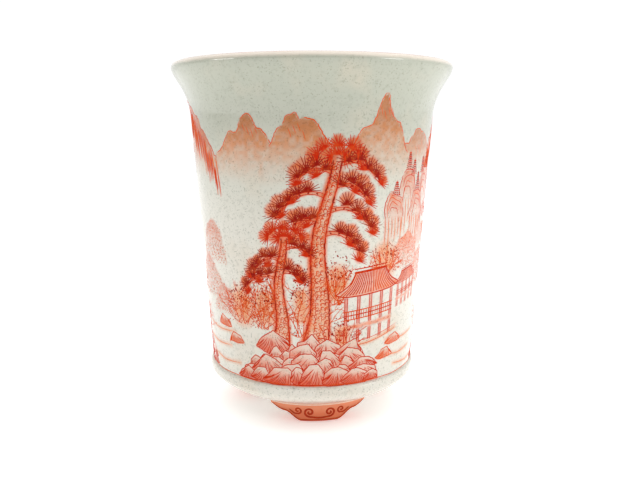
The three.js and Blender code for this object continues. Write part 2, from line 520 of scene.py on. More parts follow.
def dish_outline():
    """Out along the underside, round the bulge, over the ledge, and in across the floor."""
    ledge_rounding = 1.2
    underside = [(0.0, DISH_BOTTOM), (UNDERSIDE_RADIUS, DISH_BOTTOM)]
    bulge = bezier(
        [
            (UNDERSIDE_RADIUS, DISH_BOTTOM),
            (UNDERSIDE_RADIUS + 3.8, DISH_BOTTOM + 1.0),
            (LEDGE_RADIUS - 0.5, BULGE_LEVEL - 2.7),
            (LEDGE_RADIUS, BULGE_LEVEL),
        ],
        22,
    )
    ledge = arc(LEDGE_RADIUS - ledge_rounding, SEAT - ledge_rounding, ledge_rounding, 0, 90, 9)
    inside = WAIST_RADIUS - WALL_THICKNESS
    cove = bezier([(inside, SEAT), (inside - 0.3, FLOOR), (inside - 4.0, FLOOR)], 8)
    return [*underside, *bulge[1:], *ledge, *cove, (0.0, FLOOR), (0.0, DISH_BOTTOM)]


base_dish = turned("pot_base", dish_outline(), DISH_COLUMNS, plain_glaze)

# %% Ride and replace the turned pieces
for piece, node, slot_name in (
    (wall, "wall", "painted_glaze"),
    (lip, "lip", "lip_glaze"),
    (base_dish, "base_dish", "base_glaze"),
):
    seat_piece(piece, node)

# %% [markdown]
# ## The picture plane
# The landscape is composed flat, as if the wall were unrolled. A place in it is the distance round the
# pot from the picture's middle, taken at one middle radius, and the height above the table, both in
# millimetres. Every stroke could be worked out on the tapered wall itself, but flat strokes are easier
# to write and to read, and one tree wraps them all at the end.

# %% Unroll the wall
UNROLLED_RADIUS = 44.0
HALF_ROUND = math.pi * UNROLLED_RADIUS
PICTURE_TURN = math.radians(-3.0)  # the picture's middle sits a little to the left of the front foot's

wall_points = np.empty(3 * len(wall.data.vertices))
wall.data.vertices.foreach_get("co", wall_points)
wall_points = wall_points.reshape(-1, 3) / MM
round_wall = np.arctan2(wall_points[:, 0], -wall_points[:, 1]) - PICTURE_TURN
wall_flat = np.stack([round_wall * UNROLLED_RADIUS, wall_points[:, 2]], axis=1)
wash = np.ones((len(wall_flat), 3))
print("points that can hold wash:", len(wash))
print("picture, mm:", round(2 * HALF_ROUND), "x", round(LIP_JOINT - SEAT))

# %% [markdown]
# ## Enamel colours
# One pigment, iron red, makes every tone. Thick, it fires to a dark brick red. Let down with water it
# fires orange, coral and at last a pale flesh colour. A wash could be one more colour mixed over the
# glaze, but it is stored as what it does to the glaze under it, so that the flecks show through it.

# %% Mix the enamel
BARE_GLAZE = shade(226, 226, 216)  # the middle tone of the glaze that washes are laid on


def over_glaze(red, green, blue):
    """The tint that turns the pale glaze into this on-screen colour."""
    return np.array(shade(red, green, blue)[:3]) / np.array(BARE_GLAZE[:3])


# Inks for lines, from thick to thin
DARK = shade(146, 20, 6)
RED = shade(196, 40, 4)
BRICK = shade(214, 74, 14)
CORAL = shade(224, 106, 40)
# A duller pink ink, used as painted shade on the left-hand banks
PINK_FOR_SHADE = shade(200, 98, 68)
# Washes, from strong to weak
WASH_RED = over_glaze(222, 70, 14)
WASH_ORANGE = over_glaze(234, 110, 36)
WASH_OCHRE = over_glaze(212, 122, 54)
WASH_CORAL = over_glaze(234, 150, 92)
WASH_PALE = over_glaze(234, 190, 146)
# A duller pink wash, used as painted shade on the left-hand banks
WASH_PINK_FOR_SHADE = over_glaze(216, 140, 112)
print("what the strongest wash does to the glaze:", WASH_RED.round(2))

# %% [markdown]
# ## Laying washes
# A wash is a soft-edged patch. A material could make it from gradients, but every patch follows the
# motif it belongs to. So each call finds the wall points near it, works out how much enamel each one
# gets, and breaks that up a little with a value noise, as a loaded brush does.

# %% Find the wall points in and near a shape


def grain(points, size, seed=0.0, stretch=1.0):
    """Smooth noise from 0 to 1 in lumps of about this size, drawn out upwards by the stretch."""
    spot = points / np.array([size, size * stretch])
    cell = np.floor(spot)
    part = spot - cell
    part = part * part * (3 - 2 * part)

    def corner(dx, dy):
        value = np.sin((cell[:, 0] + dx) * 127.1 + (cell[:, 1] + dy) * 311.7 + seed) * 43758.5
        return value - np.floor(value)

    low = corner(0, 0) * (1 - part[:, 0]) + corner(1, 0) * part[:, 0]
    high = corner(0, 1) * (1 - part[:, 0]) + corner(1, 1) * part[:, 0]
    return low * (1 - part[:, 1]) + high * part[:, 1]


def edge_distance(points, path):
    """Distance of each point from the nearest part of a path."""
    start, run = path[:-1], np.diff(path, axis=0)
    length = np.maximum((run**2).sum(axis=1), 1e-9)
    offset = points[:, None] - start[None]
    share = np.clip((offset * run).sum(axis=2) / length, 0, 1)
    return np.sqrt(((offset - share[..., None] * run) ** 2).sum(axis=2)).min(axis=1)


def is_inside(points, outline):
    """True for the points inside a closed outline."""
    x, y = points[:, :1], points[:, 1:]
    x0, y0 = outline[:, 0], outline[:, 1]
    x1, y1 = np.roll(x0, -1), np.roll(y0, -1)
    crosses = (y0 > y) != (y1 > y)
    with np.errstate(divide="ignore", invalid="ignore"):
        reach = (x1 - x0) * (y - y0) / (y1 - y0) + x0
    return (crosses & (x < reach)).sum(axis=1) % 2 == 1


def wall_near(points, margin):
    """The numbers and flat places of the wall points near a shape, unrolled round the shape's middle."""
    low, high = points.min(axis=0) - margin, points.max(axis=0) + margin
    middle = (low[0] + high[0]) / 2
    across = middle + (wall_flat[:, 0] - middle + HALF_ROUND) % (2 * HALF_ROUND) - HALF_ROUND
    height = wall_flat[:, 1]
    is_near = (across > low[0]) & (across < high[0]) & (height > low[1]) & (height < high[1])
    found = np.flatnonzero(is_near)
    return found, np.stack([across[found], height[found]], axis=1)


middle_points, _ = wall_near(np.array([[0.0, 70.0]]), 1.0)
print("wall points within a millimetre of the picture's middle:", len(middle_points))

# %% Lay soft washes


def lay(found, amount, tint):
    """Covers the found wall points with a tint, by an amount from 0 to 1."""
    amount = np.clip(amount, 0, 1)[:, None]
    wash[found] = wash[found] * (1 - amount) + tint * amount


def pool(path, radius, tint, strength, softness=1.0, seed=0.0):
    """A wash along a path, full in its middle and soft for the softness at its edge."""
    path = np.array(path, float).reshape(-1, 2)
    if len(path) == 1:
        path = np.repeat(path, 2, axis=0)
    found, places = wall_near(path, radius)
    distance = edge_distance(places, path)
    amount = np.clip((radius - distance) / softness, 0, 1)
    lay(found, strength * amount * (0.75 + 0.35 * grain(places, 1.6, seed)), tint)


def patch(outline, tint, strength, light_from=(0.0, 1.0), shadow=0.5, seed=0.0):
    """Fills an outline, full away from the light and only a share of it, 1 - shadow, towards the light."""
    found, places = wall_near(outline, 1.0)
    if not len(found):
        return
    depth = edge_distance(places, np.vstack([outline, outline[:1]]))
    depth = np.where(is_inside(places, outline), depth, -depth)
    lit = places @ np.array(light_from)
    lit = (lit - lit.min()) / max(np.ptp(lit), 1e-6)
    amount = np.clip(0.5 + depth / 0.7, 0, 1) * (1 - shadow * lit)
    lay(found, strength * amount * (0.7 + 0.45 * grain(places, 1.3, seed)), tint)


def ridge_wash(ridge, fade_low, fade_high, tint, strength, streak=1.0, seed=0.0):
    """A wash below a ridge line, full above one height and gone below another."""
    span = np.array([[ridge[:, 0].min(), fade_low], [ridge[:, 0].max(), ridge[:, 1].max()]])
    found, places = wall_near(span, 0.5)
    top = np.interp(places[:, 0], ridge[:, 0], ridge[:, 1], left=-1e3, right=-1e3)
    body = np.clip((top - places[:, 1]) / 0.7 + 0.5, 0, 1)
    fade = np.clip((places[:, 1] - fade_low) / (fade_high - fade_low), 0, 1)
    amount = body * fade * fade * (3 - 2 * fade)
    lay(found, strength * amount * (0.55 + 0.65 * grain(places, 1.1, seed, streak)), tint)


# %% [markdown]
# ## Drawing lines
# Every line is a brush stroke: a path with a width that swells and tapers. Each could become a curve
# object at once, but a thing in front has to hide what was drawn behind it. So strokes, needle fans and
# dabs are first collected as lists, and `cover` cuts away what lies inside its outline and wipes the
# wash there.

# %% Smooth a path


def smooth(points, step=0.8, soft=True):
    """A path through the points with even steps, curved if it is soft and straight-sided if not."""
    points = np.array(points, float)
    if soft and len(points) > 2:
        padded = np.vstack([2 * points[0] - points[1], points, 2 * points[-1] - points[-2]])
        share = np.linspace(0, 1, 9)[:-1, None]
        pieces = []
        for a, b, c, d in zip(padded[:-3], padded[1:-2], padded[2:-1], padded[3:]):
            bend = 2 * a - 5 * b + 4 * c - d
            pieces.append(b + 0.5 * share * (c - a + share * (bend + share * (3 * (b - c) + d - a))))
        points = np.vstack([*pieces, points[-1:]])
    gaps = np.hypot(*np.diff(points, axis=0).T)
    travel = np.concatenate([[0], np.cumsum(gaps)])
    count = max(3, int(math.ceil(travel[-1] / step)) + 1)
    even = np.linspace(0, travel[-1], count)
    return np.stack([np.interp(even, travel, points[:, 0]), np.interp(even, travel, points[:, 1])], axis=1)


print("steps in a 10 mm stroke:", len(smooth([(0, 0), (10, 0)])) - 1)

# %% Collect strokes, fans and dabs
strokes, fans, dabs = [], [], []
motif = "mountains"  # which painted piece the next marks belong to


def brush(points, width=0.42, ink=RED, start=0.5, end=0.25, soft=True, step=0.8):
    """Records a stroke. Start and end say how much of the width is left at its two tips."""
    path = smooth(points, step, soft)
    along = np.linspace(0, 1, len(path))
    press = np.minimum(1, np.minimum(start + 5 * along, end + 3.5 * (1 - along)))
    strokes.append((motif, path, width / 2 * press, np.array(ink[:3])))


def fan(x, y, turn, size, ink, opening):
    """Records a fan of pine needles that opens towards a direction in degrees, over a pool of wash."""
    turn = math.radians(turn)
    fans.append((motif, x, y, turn, size, math.radians(opening), np.array(ink[:3])))
    heart = np.array([x, y]) + 0.4 * size * np.array([math.cos(turn), math.sin(turn)])
    pool(heart, 0.66 * size, WASH_ORANGE, 0.95, 0.2 * size, seed=x)
    pool([(x, y)], 0.3 * size, WASH_RED, 0.7, 0.3 * size, seed=y)


def dab(x, y, size, ink, turn, stretch):
    """Records a dot or a short dab of the brush tip."""
    dabs.append((motif, x, y, size, np.array(ink[:3]), turn, stretch))


def tell():
    """Prints how many marks the motif being painted has so far."""
    counts = [sum(mark[0] == motif for mark in marks) for marks in (strokes, fans, dabs)]
    print(motif, "has", counts[0], "strokes,", counts[1], "fans and", counts[2], "dabs")


# %% Hide what lies behind


def split_runs(keep):
    """The (first, last) numbers of each run of true values at least three long."""
    edges = np.flatnonzero(np.diff(np.concatenate([[0], keep.astype(int), [0]])))
    return [(first, last) for first, last in zip(edges[::2], edges[1::2]) if last - first >= 3]


def cover(outline):
    """Hides everything drawn so far inside an outline."""
    low, high = outline.min(axis=0), outline.max(axis=0)
    kept = []
    for stroke in strokes:
        group, path, half, ink = stroke
        if (path.max(axis=0) < low).any() or (path.min(axis=0) > high).any():
            kept.append(stroke)
            continue
        hidden = is_inside(path, outline)
        kept += [(group, path[a:b], half[a:b], ink) for a, b in split_runs(~hidden)]
    strokes[:] = kept
    for marks in (fans, dabs):
        if marks:
            spots = np.array([[mark[1], mark[2]] for mark in marks])
            marks[:] = [mark for mark, gone in zip(marks, is_inside(spots, outline)) if not gone]
    patch(outline, np.ones(3), 1.4, shadow=0.0)


# %% [markdown]
# ## The picture
# The landscape is an imaginary one of stock motifs: peaks in mist, cliffs, two pines on a heap of rocks
# and an open pavilion by the water. It could be drawn line by line, but rules vary more naturally, and
# a motif can be moved or resized in one call. Each motif is a rule with a few sizes, and the painting's
# own fixed sequence of random numbers varies it. It is painted from back to front, as a painter works.

# %% Start the painting
PAINTING_SEED = 11
pick = np.random.default_rng(PAINTING_SEED)


def between(low, high):
    """A random number from the painting's own fixed sequence."""
    return float(pick.uniform(low, high))


def broken(points, width, ink, wander=0.1):
    """A brush line that trembles and is lifted off now and then."""
    path = smooth(points, 0.6)
    path = path + pick.normal(0, wander, path.shape)
    first = 0
    while first < len(path) - 3:
        last = min(len(path), first + int(between(9, 20)))
        brush(path[first:last], width * between(0.75, 1.2), ink, 0.5, 0.35, step=0.6)
        first = last - int(between(0, 3))


# %% [markdown]
# ## Distant peaks
# Bare peaks stand in mist under the flared neck. Plain noise would give a saw edge, while a painted
# peak has one crest and worn shoulders. So each starts as two slopes that meet, and is bent and worn.
# Its wash is full at the crest and gone at the foot, which makes the mist.

# %% Paint the peaks


def peak(left, right, foot, top, lean, tint, strength):
    """A peak between two places, its crest at a share of its width, fading into mist at its foot."""
    share = np.linspace(0, 1, 23)
    rise = np.where(share < lean, share / lean, (1 - share) / (1 - lean))
    shoulder = between(0.05, 0.12) * np.sin((share * between(3, 5) + between(0, 1)) * 2 * math.pi)
    worn = (pick.normal(0, 0.03, len(share)) + shoulder) * np.sin(math.pi * share)
    height = foot + (top - foot) * np.minimum(rise ** between(0.75, 1.05) + worn, 1.04)
    ridge = np.stack([left + (right - left) * share, height], axis=1)
    cover(np.vstack([ridge[1:-1], [(right - 2, foot - 2), (left + 2, foot - 2)]]))
    ridge_wash(ridge, foot - 6, top - 6, tint, 1.1 * strength, seed=left)
    ridge_wash(ridge, top - 13, top - 2, WASH_OCHRE, 0.95 * strength, seed=right)
    broken(ridge[3:-3], 0.46, BRICK)
    crest = ridge[np.argmax(height)]
    for k in range(4):
        x, z = crest[0] + 1.5 * (k - 1.5), crest[1] - between(3.5, 6)
        brush([(x, z), (x + 0.5, z - 1.4), (x + 1.0, z - between(2.4, 3.6))], 0.3, BRICK, 0.3, 0.1)


motif = "mountains"
peak(26, 56, foot=100, top=112, lean=0.5, tint=WASH_CORAL, strength=0.6)
peak(-42, -10, foot=97, top=116, lean=0.6, tint=WASH_CORAL, strength=0.9)
peak(-20, 11, foot=97, top=118, lean=0.4, tint=WASH_CORAL, strength=0.95)
peak(3, 39, foot=96, top=122, lean=0.55, tint=WASH_CORAL, strength=1.0)
tell()

# %% [markdown]
# The near cliffs at both sides fall towards the valley. They are long upright brush strokes in three
# tones over a streaked wash. The strokes lean a little the way the cliff falls, which shows the rock's
# face without any shading.

# %% Paint the cliffs


def cliff(outer, inner, high, low, strokes_wanted):
    """A cliff with a short shoulder on its outer side and a long fall to its inner side."""
    share = np.linspace(0, 1, 20)
    fall = 0.2 * share + 0.8 * share**2.4
    ridge = np.stack([outer + (inner - outer) * share, high - (high - low) * fall], axis=1)
    ridge[:, 1] += pick.normal(0, 0.5, len(share))
    away = math.copysign(1.0, outer - inner)
    shoulder = [(outer + away * 13, low + 1), (outer + away * 9, low + 8), (outer + away * 4, high - 6)]
    ridge = np.vstack([shoulder, ridge])
    cover(np.vstack([ridge, [(outer, low)]]))
    rising = ridge if outer < inner else ridge[::-1]
    ridge_wash(rising, low - 9, low + 8, WASH_CORAL, 1.0, streak=14.0, seed=outer)
    ridge_wash(rising, low - 4, low + 14, WASH_ORANGE, 1.0, streak=16.0, seed=inner)
    lean = math.copysign(0.1, inner - outer)
    for k in range(strokes_wanted):
        place = (k + between(0, 1)) / strokes_wanted
        x = outer + (inner - outer) * place
        top = float(np.interp(x, rising[:, 0], rising[:, 1])) - between(0.4, 6)
        length = between(5, 12)
        run = lean * length
        path = [(x, top), (x + 0.4 * run, top - 0.4 * length), (x + run, top - length)]
        brush(path, between(0.35, 0.75), (RED, BRICK, CORAL, BRICK)[k % 4], 0.2, 0.1)
        pool(path, 0.7, WASH_RED if k % 2 else WASH_ORANGE, 0.6, 0.6, seed=k)
    broken(ridge, 0.5, RED, 0.14)


motif = "cliffs"
cliff(-68, -38, high=122, low=101, strokes_wanted=60)
cliff(69, 47, high=119, low=98, strokes_wanted=36)
tell()

# %% [markdown]
# Hanging crags, with little firs on them, close the valley on the right. The folds of a crag could each
# be drawn on their own. They are smaller copies of its outline instead, so they always follow its
# shape.

# %% Paint the crags


def crag(x, z, width, height):
    """A domed rock with folds that follow its shape and long threads of rock face under it."""
    angles = np.radians([180, 150, 115, 80, 45, 15, 0])
    dome = np.stack([0.5 * np.cos(angles), np.sin(angles)], axis=1)
    dome = dome * (1 + pick.normal(0, 0.11, dome.shape)) * [width, height] + [x, z]
    cover(dome)
    patch(dome, WASH_ORANGE, 1.15, (-0.3, -1), 0.95, seed=x)
    broken(dome, 0.46, RED, 0.06)
    for size in (0.8, 0.62, 0.44):
        heart = np.array([x + between(-0.2, 0.2) * width, z])
        fold = heart + size * (dome - heart) + pick.normal(0, 0.2, dome.shape)
        fold = fold[int(between(0, 2)) : int(between(5, 8))]
        brush(fold, 0.4, (RED, BRICK)[int(between(0, 2))], 0.5, 0.2)
    for k in range(6):
        side = x + width * (0.16 * k - 0.4)
        length = between(6, 14)
        path = [(side, z), (side + 0.3, z - 0.5 * length), (side + 0.2, z - length)]
        brush(path, 0.38, (BRICK, CORAL)[k % 2], 0.4, 0.1)
        pool(path, 0.9, WASH_ORANGE, 0.5, 0.9, seed=side)


def fir(x, z, height, width):
    """A small far fir: a stem with short level dabs that widen downwards."""
    brush([(x, z), (x + 0.1, z + height)], 0.3, RED, 0.6, 0.4)
    levels = int(height / 0.7)
    for level in range(levels):
        share = level / levels
        reach = width * (1 - 0.85 * share) * 0.5
        up = z + share * height
        pool([(x - 0.6 * reach, up), (x + 0.6 * reach, up)], 0.5, WASH_RED, 0.6, 0.5)
        for side in (-1, -0.4, 0.4, 1):
            ink = (RED, DARK)[level % 2]
            dab(x + side * reach, up - 0.3 * abs(side), 0.26, ink, -0.3 * side, 1.7)


# Each crag: place, foot, width, height. Each fir: place, foot, height.
CRAGS = ((50, 84, 14, 14), (36, 86, 11, 12), (43, 80, 11, 10), (29, 80, 10, 9), (54, 76, 12, 9))
for x, z, width, height in CRAGS:
    crag(x, z, width, height)
FIRS = ((36, 97.4, 6.5), (39.4, 95.6, 5.4), (43, 89.4, 7), (46.6, 96, 6), (29.6, 88.6, 5), (51, 97.4, 6))
for x, z, height in FIRS:
    fir(x, z, height, 3.4)
tell()

# %% [markdown]
# ## Far bank
# Behind the trees the banks are masses of dots, twigs and curled leaves over a pale wash. Each mark is
# tiny and there are hundreds, so they are scattered by rule inside a mass's outline, and a twig forks
# by calling itself.

# %% Define leaves, dots and twigs


def mound(x, z, width, height):
    """The outline of a rounded mass standing on a level."""
    angles = np.radians(np.linspace(0, 180, 13))
    swell = 1 + pick.normal(0, 0.05, len(angles))
    across = x + 0.5 * width * swell * np.cos(angles)
    return np.stack([across, z + height * swell * np.sin(angles)], axis=1)


def stipple(outline, count, size=0.2, ink=RED):
    """Scatters small dots inside an outline, closer together towards its foot."""
    low, high = outline.min(axis=0), outline.max(axis=0)
    spots = pick.uniform(low, high, (6 * count, 2))
    spots = spots[is_inside(spots, outline)]
    depth = (high[1] - spots[:, 1]) / (high[1] - low[1])
    for x, z in spots[pick.random(len(spots)) < 0.25 + 0.75 * depth][:count]:
        dab(x, z, size * between(0.7, 1.3), ink, between(0, 3.1), between(1.0, 1.7))


def leaves(outline, spacing=1.5, size=1.1, ink=BRICK):
    """Fills an outline with small rows of curled leaf strokes."""
    low, high = outline.min(axis=0), outline.max(axis=0)
    spots = []
    for row, z in enumerate(np.arange(low[1], high[1], 0.75 * spacing)):
        for x in np.arange(low[0] + (row % 2) * 0.5 * spacing, high[0], spacing):
            spots.append((x + between(-0.3, 0.3), z + between(-0.25, 0.25)))
    spots = np.array(spots)
    for x, z in spots[is_inside(spots, outline)]:
        turn = between(0.2, 2.9)
        ux, uz = math.cos(turn) * size, math.sin(turn) * size
        curl = [(x - 0.5 * ux, z - 0.3 * uz), (x, z + 0.3 * size), (x + 0.5 * ux, z + 0.2 * uz)]
        brush(curl, 0.32, ink, 0.4, 0.3)


def twigs(x, z, turn, length, order, width, ink):
    """A branching twig that forks as many times as its order, each fork shorter and thinner."""
    bend = between(-0.25, 0.25)
    middle = (x + 0.5 * length * math.cos(turn + bend), z + 0.5 * length * math.sin(turn + bend))
    tip = (x + length * math.cos(turn), z + length * math.sin(turn))
    brush([(x, z), middle, tip], width, ink, 0.8, 0.5)
    if order > 0:
        for _ in range(2 if order < 3 else 3):
            share = between(0.45, 1.0)
            fork = (x + share * (tip[0] - x), z + share * (tip[1] - z))
            side, shorter = turn + between(-0.8, 0.8), length * between(0.45, 0.7)
            twigs(*fork, side, shorter, order - 1, 0.78 * width, ink)


def bush(x, z, width, height, ink=BRICK):
    """Twigs that spread from a root, in a coral wash with dark dots round their tips."""
    mass = mound(x, z, width, height)
    stem = [(x, z + 0.3 * height), (x, z + 0.6 * height)]
    pool(stem, 0.42 * width, WASH_CORAL, 0.9, 0.25 * width, seed=x)
    for turn in np.linspace(2.5, 0.6, 7):
        twigs(x + between(-0.15, 0.15) * width, z, turn, 0.55 * height, 3, 0.44, ink)
    stipple(mass, int(0.5 * width * height), 0.22, RED)
    upper = mound(x, z + 0.55 * height, 0.8 * width, 0.6 * height)
    stipple(upper, int(0.2 * width * height), 0.26, DARK)


# %% Paint the banks and bushes
motif = "bank"
# Each bank: place, foot, width, height, wash, ink. The left-hand banks take the pinker, duller wash and ink
# as painted shade, for the dimmer left side of the pot.
for x, z, width, height, tint, ink in (
    (38, 60, 22, 14, WASH_ORANGE, BRICK),
    (52, 52, 18, 14, WASH_ORANGE, BRICK),
    (-46, 62, 18, 16, WASH_PINK_FOR_SHADE, PINK_FOR_SHADE),
    (-51, 48, 22, 16, WASH_PINK_FOR_SHADE, PINK_FOR_SHADE),
    (-40, 43, 16, 12, WASH_PINK_FOR_SHADE, BRICK),
):
    mass = mound(x, z, width, height)
    cover(mass)
    patch(mass, tint, 1.0, (0, -1), 0.95, seed=x)
    leaves(mass, 1.7, 1.3, ink)
    stipple(mass + [0, 0.5], int(0.6 * width * height), 0.19, ink)
tell()

motif = "bushes"
# Each bush: place, root, width, height
BUSHES = ((-30, 41, 17, 15), (-20, 40, 14, 18), (-6, 38, 9, 26), (7, 50, 14, 17), (26, 60, 18, 10))
for x, z, width, height in BUSHES:
    bush(x, z, width, height)
tell()

# %% [markdown]
# ## The pavilion
# An open pavilion stands on stilts over the water: a deck, evenly spaced posts with rails between them,
# and a tiled hip roof whose eaves turn up at the corners. Every part is placed by its share of the
# width and of the height, so that one rule also builds the smaller one behind.

# %% Define the pavilion
POST_COUNT = 5
TILE_LINES = 21


def panel(corners, tint=None, strength=0.9, shadow=0.5):
    """Covers a straight-sided panel and washes it."""
    corners = np.array(corners, float)
    cover(corners)
    if tint is not None:
        patch(corners, tint, strength, (0, 1), shadow, seed=corners[0, 0])


def beam(start, end, width=0.5, ink=RED):
    """A straight ruled line."""
    brush([start, end], width, ink, 0.9, 0.8, soft=False)


# %% Put a pavilion together


def pavilion(x, z, width, height, rise):
    """A pavilion from its left stilt, whose far end stands higher by the rise."""

    def at(share, level):
        return (x + share * width, z + level * height + share * rise)

    line = 0.62 * min(1.0, width / 20)
    panel([at(0, 0.2), at(1, 0.2), at(1, 0.72), at(0, 0.72)])
    for share in np.linspace(0, 1, POST_COUNT):
        foot, head = at(share, 0.0), at(share, 0.72)
        panel([foot, (foot[0] + 1, foot[1]), (head[0] + 1, head[1]), head], WASH_RED, 0.9, 0.2)
        for shift in (0, 1):
            beam((foot[0] + shift, foot[1]), (head[0] + shift, head[1]), 0.8 * line)
    for level in (0.2, 0.26, 0.34, 0.4, 0.46, 0.7):
        beam(at(-0.03, level), at(1.07, level), line, (RED, BRICK)[int(level * 50) % 2])
    panel([at(-0.03, 0.2), at(1.07, 0.2), at(1.07, 0.26), at(-0.03, 0.26)], WASH_ORANGE, 0.9, 0.2)
    for share in np.linspace(0.03, 1, 4 * POST_COUNT):
        beam(at(share, 0.34), at(share, 0.46), 0.7 * line, BRICK)
    left = smooth([at(0.2, 1), at(0.08, 0.84), at(-0.18, 0.72)], 0.5)
    right = smooth([at(0.84, 1), at(0.98, 0.84), at(1.22, 0.72)], 0.5)
    eaves = smooth([at(-0.18, 0.72), at(0.1, 0.67), at(0.95, 0.67), at(1.22, 0.72)], 0.5)
    roof = np.vstack([left, eaves, right[::-1]])
    cover(roof)
    patch(roof, WASH_ORANGE, 1.0, (-0.4, 1), 0.75, seed=x)
    for share in np.linspace(0.03, 0.97, TILE_LINES):
        top = np.array(at(0.2 + 0.64 * share, 1))
        foot = np.array(at(-0.14 + 1.32 * share, 0.69))
        bend = (top + foot) / 2 + [(0.5 - share) * 0.06 * width, -0.03 * height]
        brush([top, bend, foot], 0.9 * line, (RED, BRICK)[int(share * 40) % 2], 0.5, 0.9, step=0.5)
    for edge in (left, right, eaves):
        brush(edge, 1.1 * line, RED, 0.9, 0.9)
    beam(at(0.17, 1.0), at(0.87, 1.0), 2.0 * line)
    beam(at(0.17, 1.05), at(0.87, 1.05), line)


# %% Paint the pavilions
motif = "pavilion"
pavilion(34, 46, width=12, height=13, rise=1.6)
pavilion(10, 35, width=20, height=26, rise=1.8)
for level in (0, 1.6):
    brush([(8, 34 + level), (20, 34.6 + level), (36, 38 + level)], 0.4, BRICK, 0.6, 0.2)
pool([(9, 34), (20, 34.6), (34, 38)], 1.2, WASH_CORAL, 0.7, 0.9, seed=44)
tell()

# %% [markdown]
# ## The pines
# A pine's trunk leans and sways as it thins. It has knobbly dark edges, an orange wash that leaves its
# middle light, and bark scales drawn as small hooks. Boughs leave it by turns on both sides and carry
# half-wheels of needles, and a cap of them crowns the tree. A needle is never drawn by itself: a half-
# wheel is one recorded mark, and the tree of nodes makes its needles later.

# %% Define a trunk and a bough


def trunk(left, right):
    """A pine trunk between its two edges, both listed from the bottom up."""
    body = np.vstack([left, right[::-1]])
    cover(body)
    patch(body, WASH_CORAL, 0.9, (1, 0), 0.3, seed=51)
    for edge, radius in ((left, 1.6), (right, 1.2)):
        pool(edge, radius, WASH_ORANGE, 0.95, 0.9, seed=radius)
        pool(edge, 0.5 * radius, WASH_RED, 0.7, 0.6, seed=radius)
        for first in range(0, len(edge) - 5, 4):
            bulge = edge[first : first + 6]
            bulge = bulge + pick.normal(0, 0.12, bulge.shape)
            brush(bulge, between(0.55, 0.9), (RED, DARK)[int(between(0, 1.7))], 0.6, 0.5, step=0.5)
    for share in np.arange(0.02, 0.97, 1.5 / len(left)):
        a, b = left[int(share * (len(left) - 1))], right[int(share * (len(right) - 1))]
        for place in np.arange(0.14, 0.95, max(0.24, 1.5 / np.hypot(*(b - a)))):
            x, z = a + (b - a) * (place + between(-0.07, 0.07)) + [0, between(-0.5, 0.5)]
            size, start = between(0.5, 0.8), between(0.2, 1.2)
            turns = start + np.array([0, 1.1, 2.2, 3.3])
            hook = np.stack([x + size * np.cos(turns), z + size * np.sin(turns)], axis=1)
            brush(hook, 0.4, (RED, BRICK)[int(between(0, 2))], 0.7, 0.4, step=0.4)


def branch(points, width):
    """A bough: two wandering edges with wash between them, and a few knots."""
    path = smooth(points, 0.6)
    pool(path, 0.7 * width, WASH_ORANGE, 0.85, 0.4, seed=path[0, 0])
    taper = np.linspace(0.45 * width, 0.12, len(path))
    along = np.gradient(path, axis=0)
    along = along / np.maximum(np.hypot(*along.T), 1e-6)[:, None]
    side = np.stack([-along[:, 1], along[:, 0]], axis=1)
    for sign in (-1, 1):
        edge = path + sign * side * taper[:, None] + pick.normal(0, 0.06, path.shape)
        brush(edge, 0.42, RED, 0.9, 0.4, step=0.6)
    for spot in path[2::5]:
        dab(*spot, 0.32, DARK, between(0, 3), 1.5)


# %% Put a pine together


def pine(x, z, height, girth, lean, boughs, needle):
    """A pine rooted at a place. Each bough is (share up the trunk, signed reach, droop at its tip)."""
    share = np.linspace(0, 1, int(2 * height))
    sway = 0.02 * height * np.sin(2.6 * math.pi * share)
    middle = np.stack([x + lean * share**1.6 + sway, z + height * share], axis=1)
    half = girth * (0.5 - 0.32 * share + 0.25 * (1 - share) ** 8)
    reaches = []
    for up, reach, droop in boughs:
        root = middle[int(up * (len(middle) - 1))]
        steps = np.linspace(0, 1, 6)[:, None]
        path = root + steps * [reach, 0] + [0, 0.22 * abs(reach)] * np.sin(math.pi * steps * 0.75)
        path = path - steps**2 * [0, droop]
        reaches.append(path)
        branch(path, 0.34 * girth * (1 - 0.5 * up))
    trunk(middle - half[:, None] * [1, 0], middle + half[:, None] * [1, 0])
    for path, (_, reach, _) in zip(reaches, boughs):
        fine = smooth(path, 0.95 * needle)
        for k, spot in enumerate(fine[len(fine) // 3 :]):
            turn = 90 - math.copysign(12 + 6 * k, reach) + between(-14, 14)
            fan(spot[0], spot[1] + between(0, 1.4), turn, needle * between(0.85, 1.1), DARK, 190)
            if k % 2:
                fan(spot[0] + between(-2, 2), spot[1] - 2.4, turn, 0.8 * needle, RED, 180)
    crown = middle[-1]
    for ring, count in ((4.8, 5), (1.4, 3)):
        for turn in np.linspace(10, 170, count):
            way = math.radians(turn)
            spot = crown + ring * needle / 4.4 * np.array([1.35 * math.cos(way), 0.8 * math.sin(way)])
            fan(*spot, turn, needle * between(0.9, 1.1), (DARK, RED)[count % 2], 185)


# %% Paint the pines
motif = "pines"
# Each bough: share up the trunk, reach to the right or (minus) the left, droop
short_boughs = [(0.62, -13, 5), (0.68, 8, 4), (0.8, -11, 6), (0.9, 9, 3)]
tall_boughs = [
    (0.6, 15, 9), (0.68, -9, 2), (0.72, 17, 8), (0.8, -18, 10), (0.85, 12, 5), (0.92, -12, 3), (0.96, 14, 6),
]
pine(-14, 35, height=39, girth=5.0, lean=1.5, boughs=short_boughs, needle=3.9)
pine(-1, 34, height=68, girth=7.2, lean=6, boughs=tall_boughs, needle=4.5)
tell()
motif = "bushes"
bush(9, 31, 11, 13, RED)
tell()

# %% [markdown]
# ## The foreground
# The bank in front is a heap of angular rocks down to a painted line at the ledge, with the water drawn
# as long level strokes on both sides. A rock has a firm straight-sided outline, a light top, and
# hatching that fans in from its foot towards its crest. Rocks of one size in even rows would look like
# scales, so their sizes, heights and levels all vary.

# %% Define rocks and water


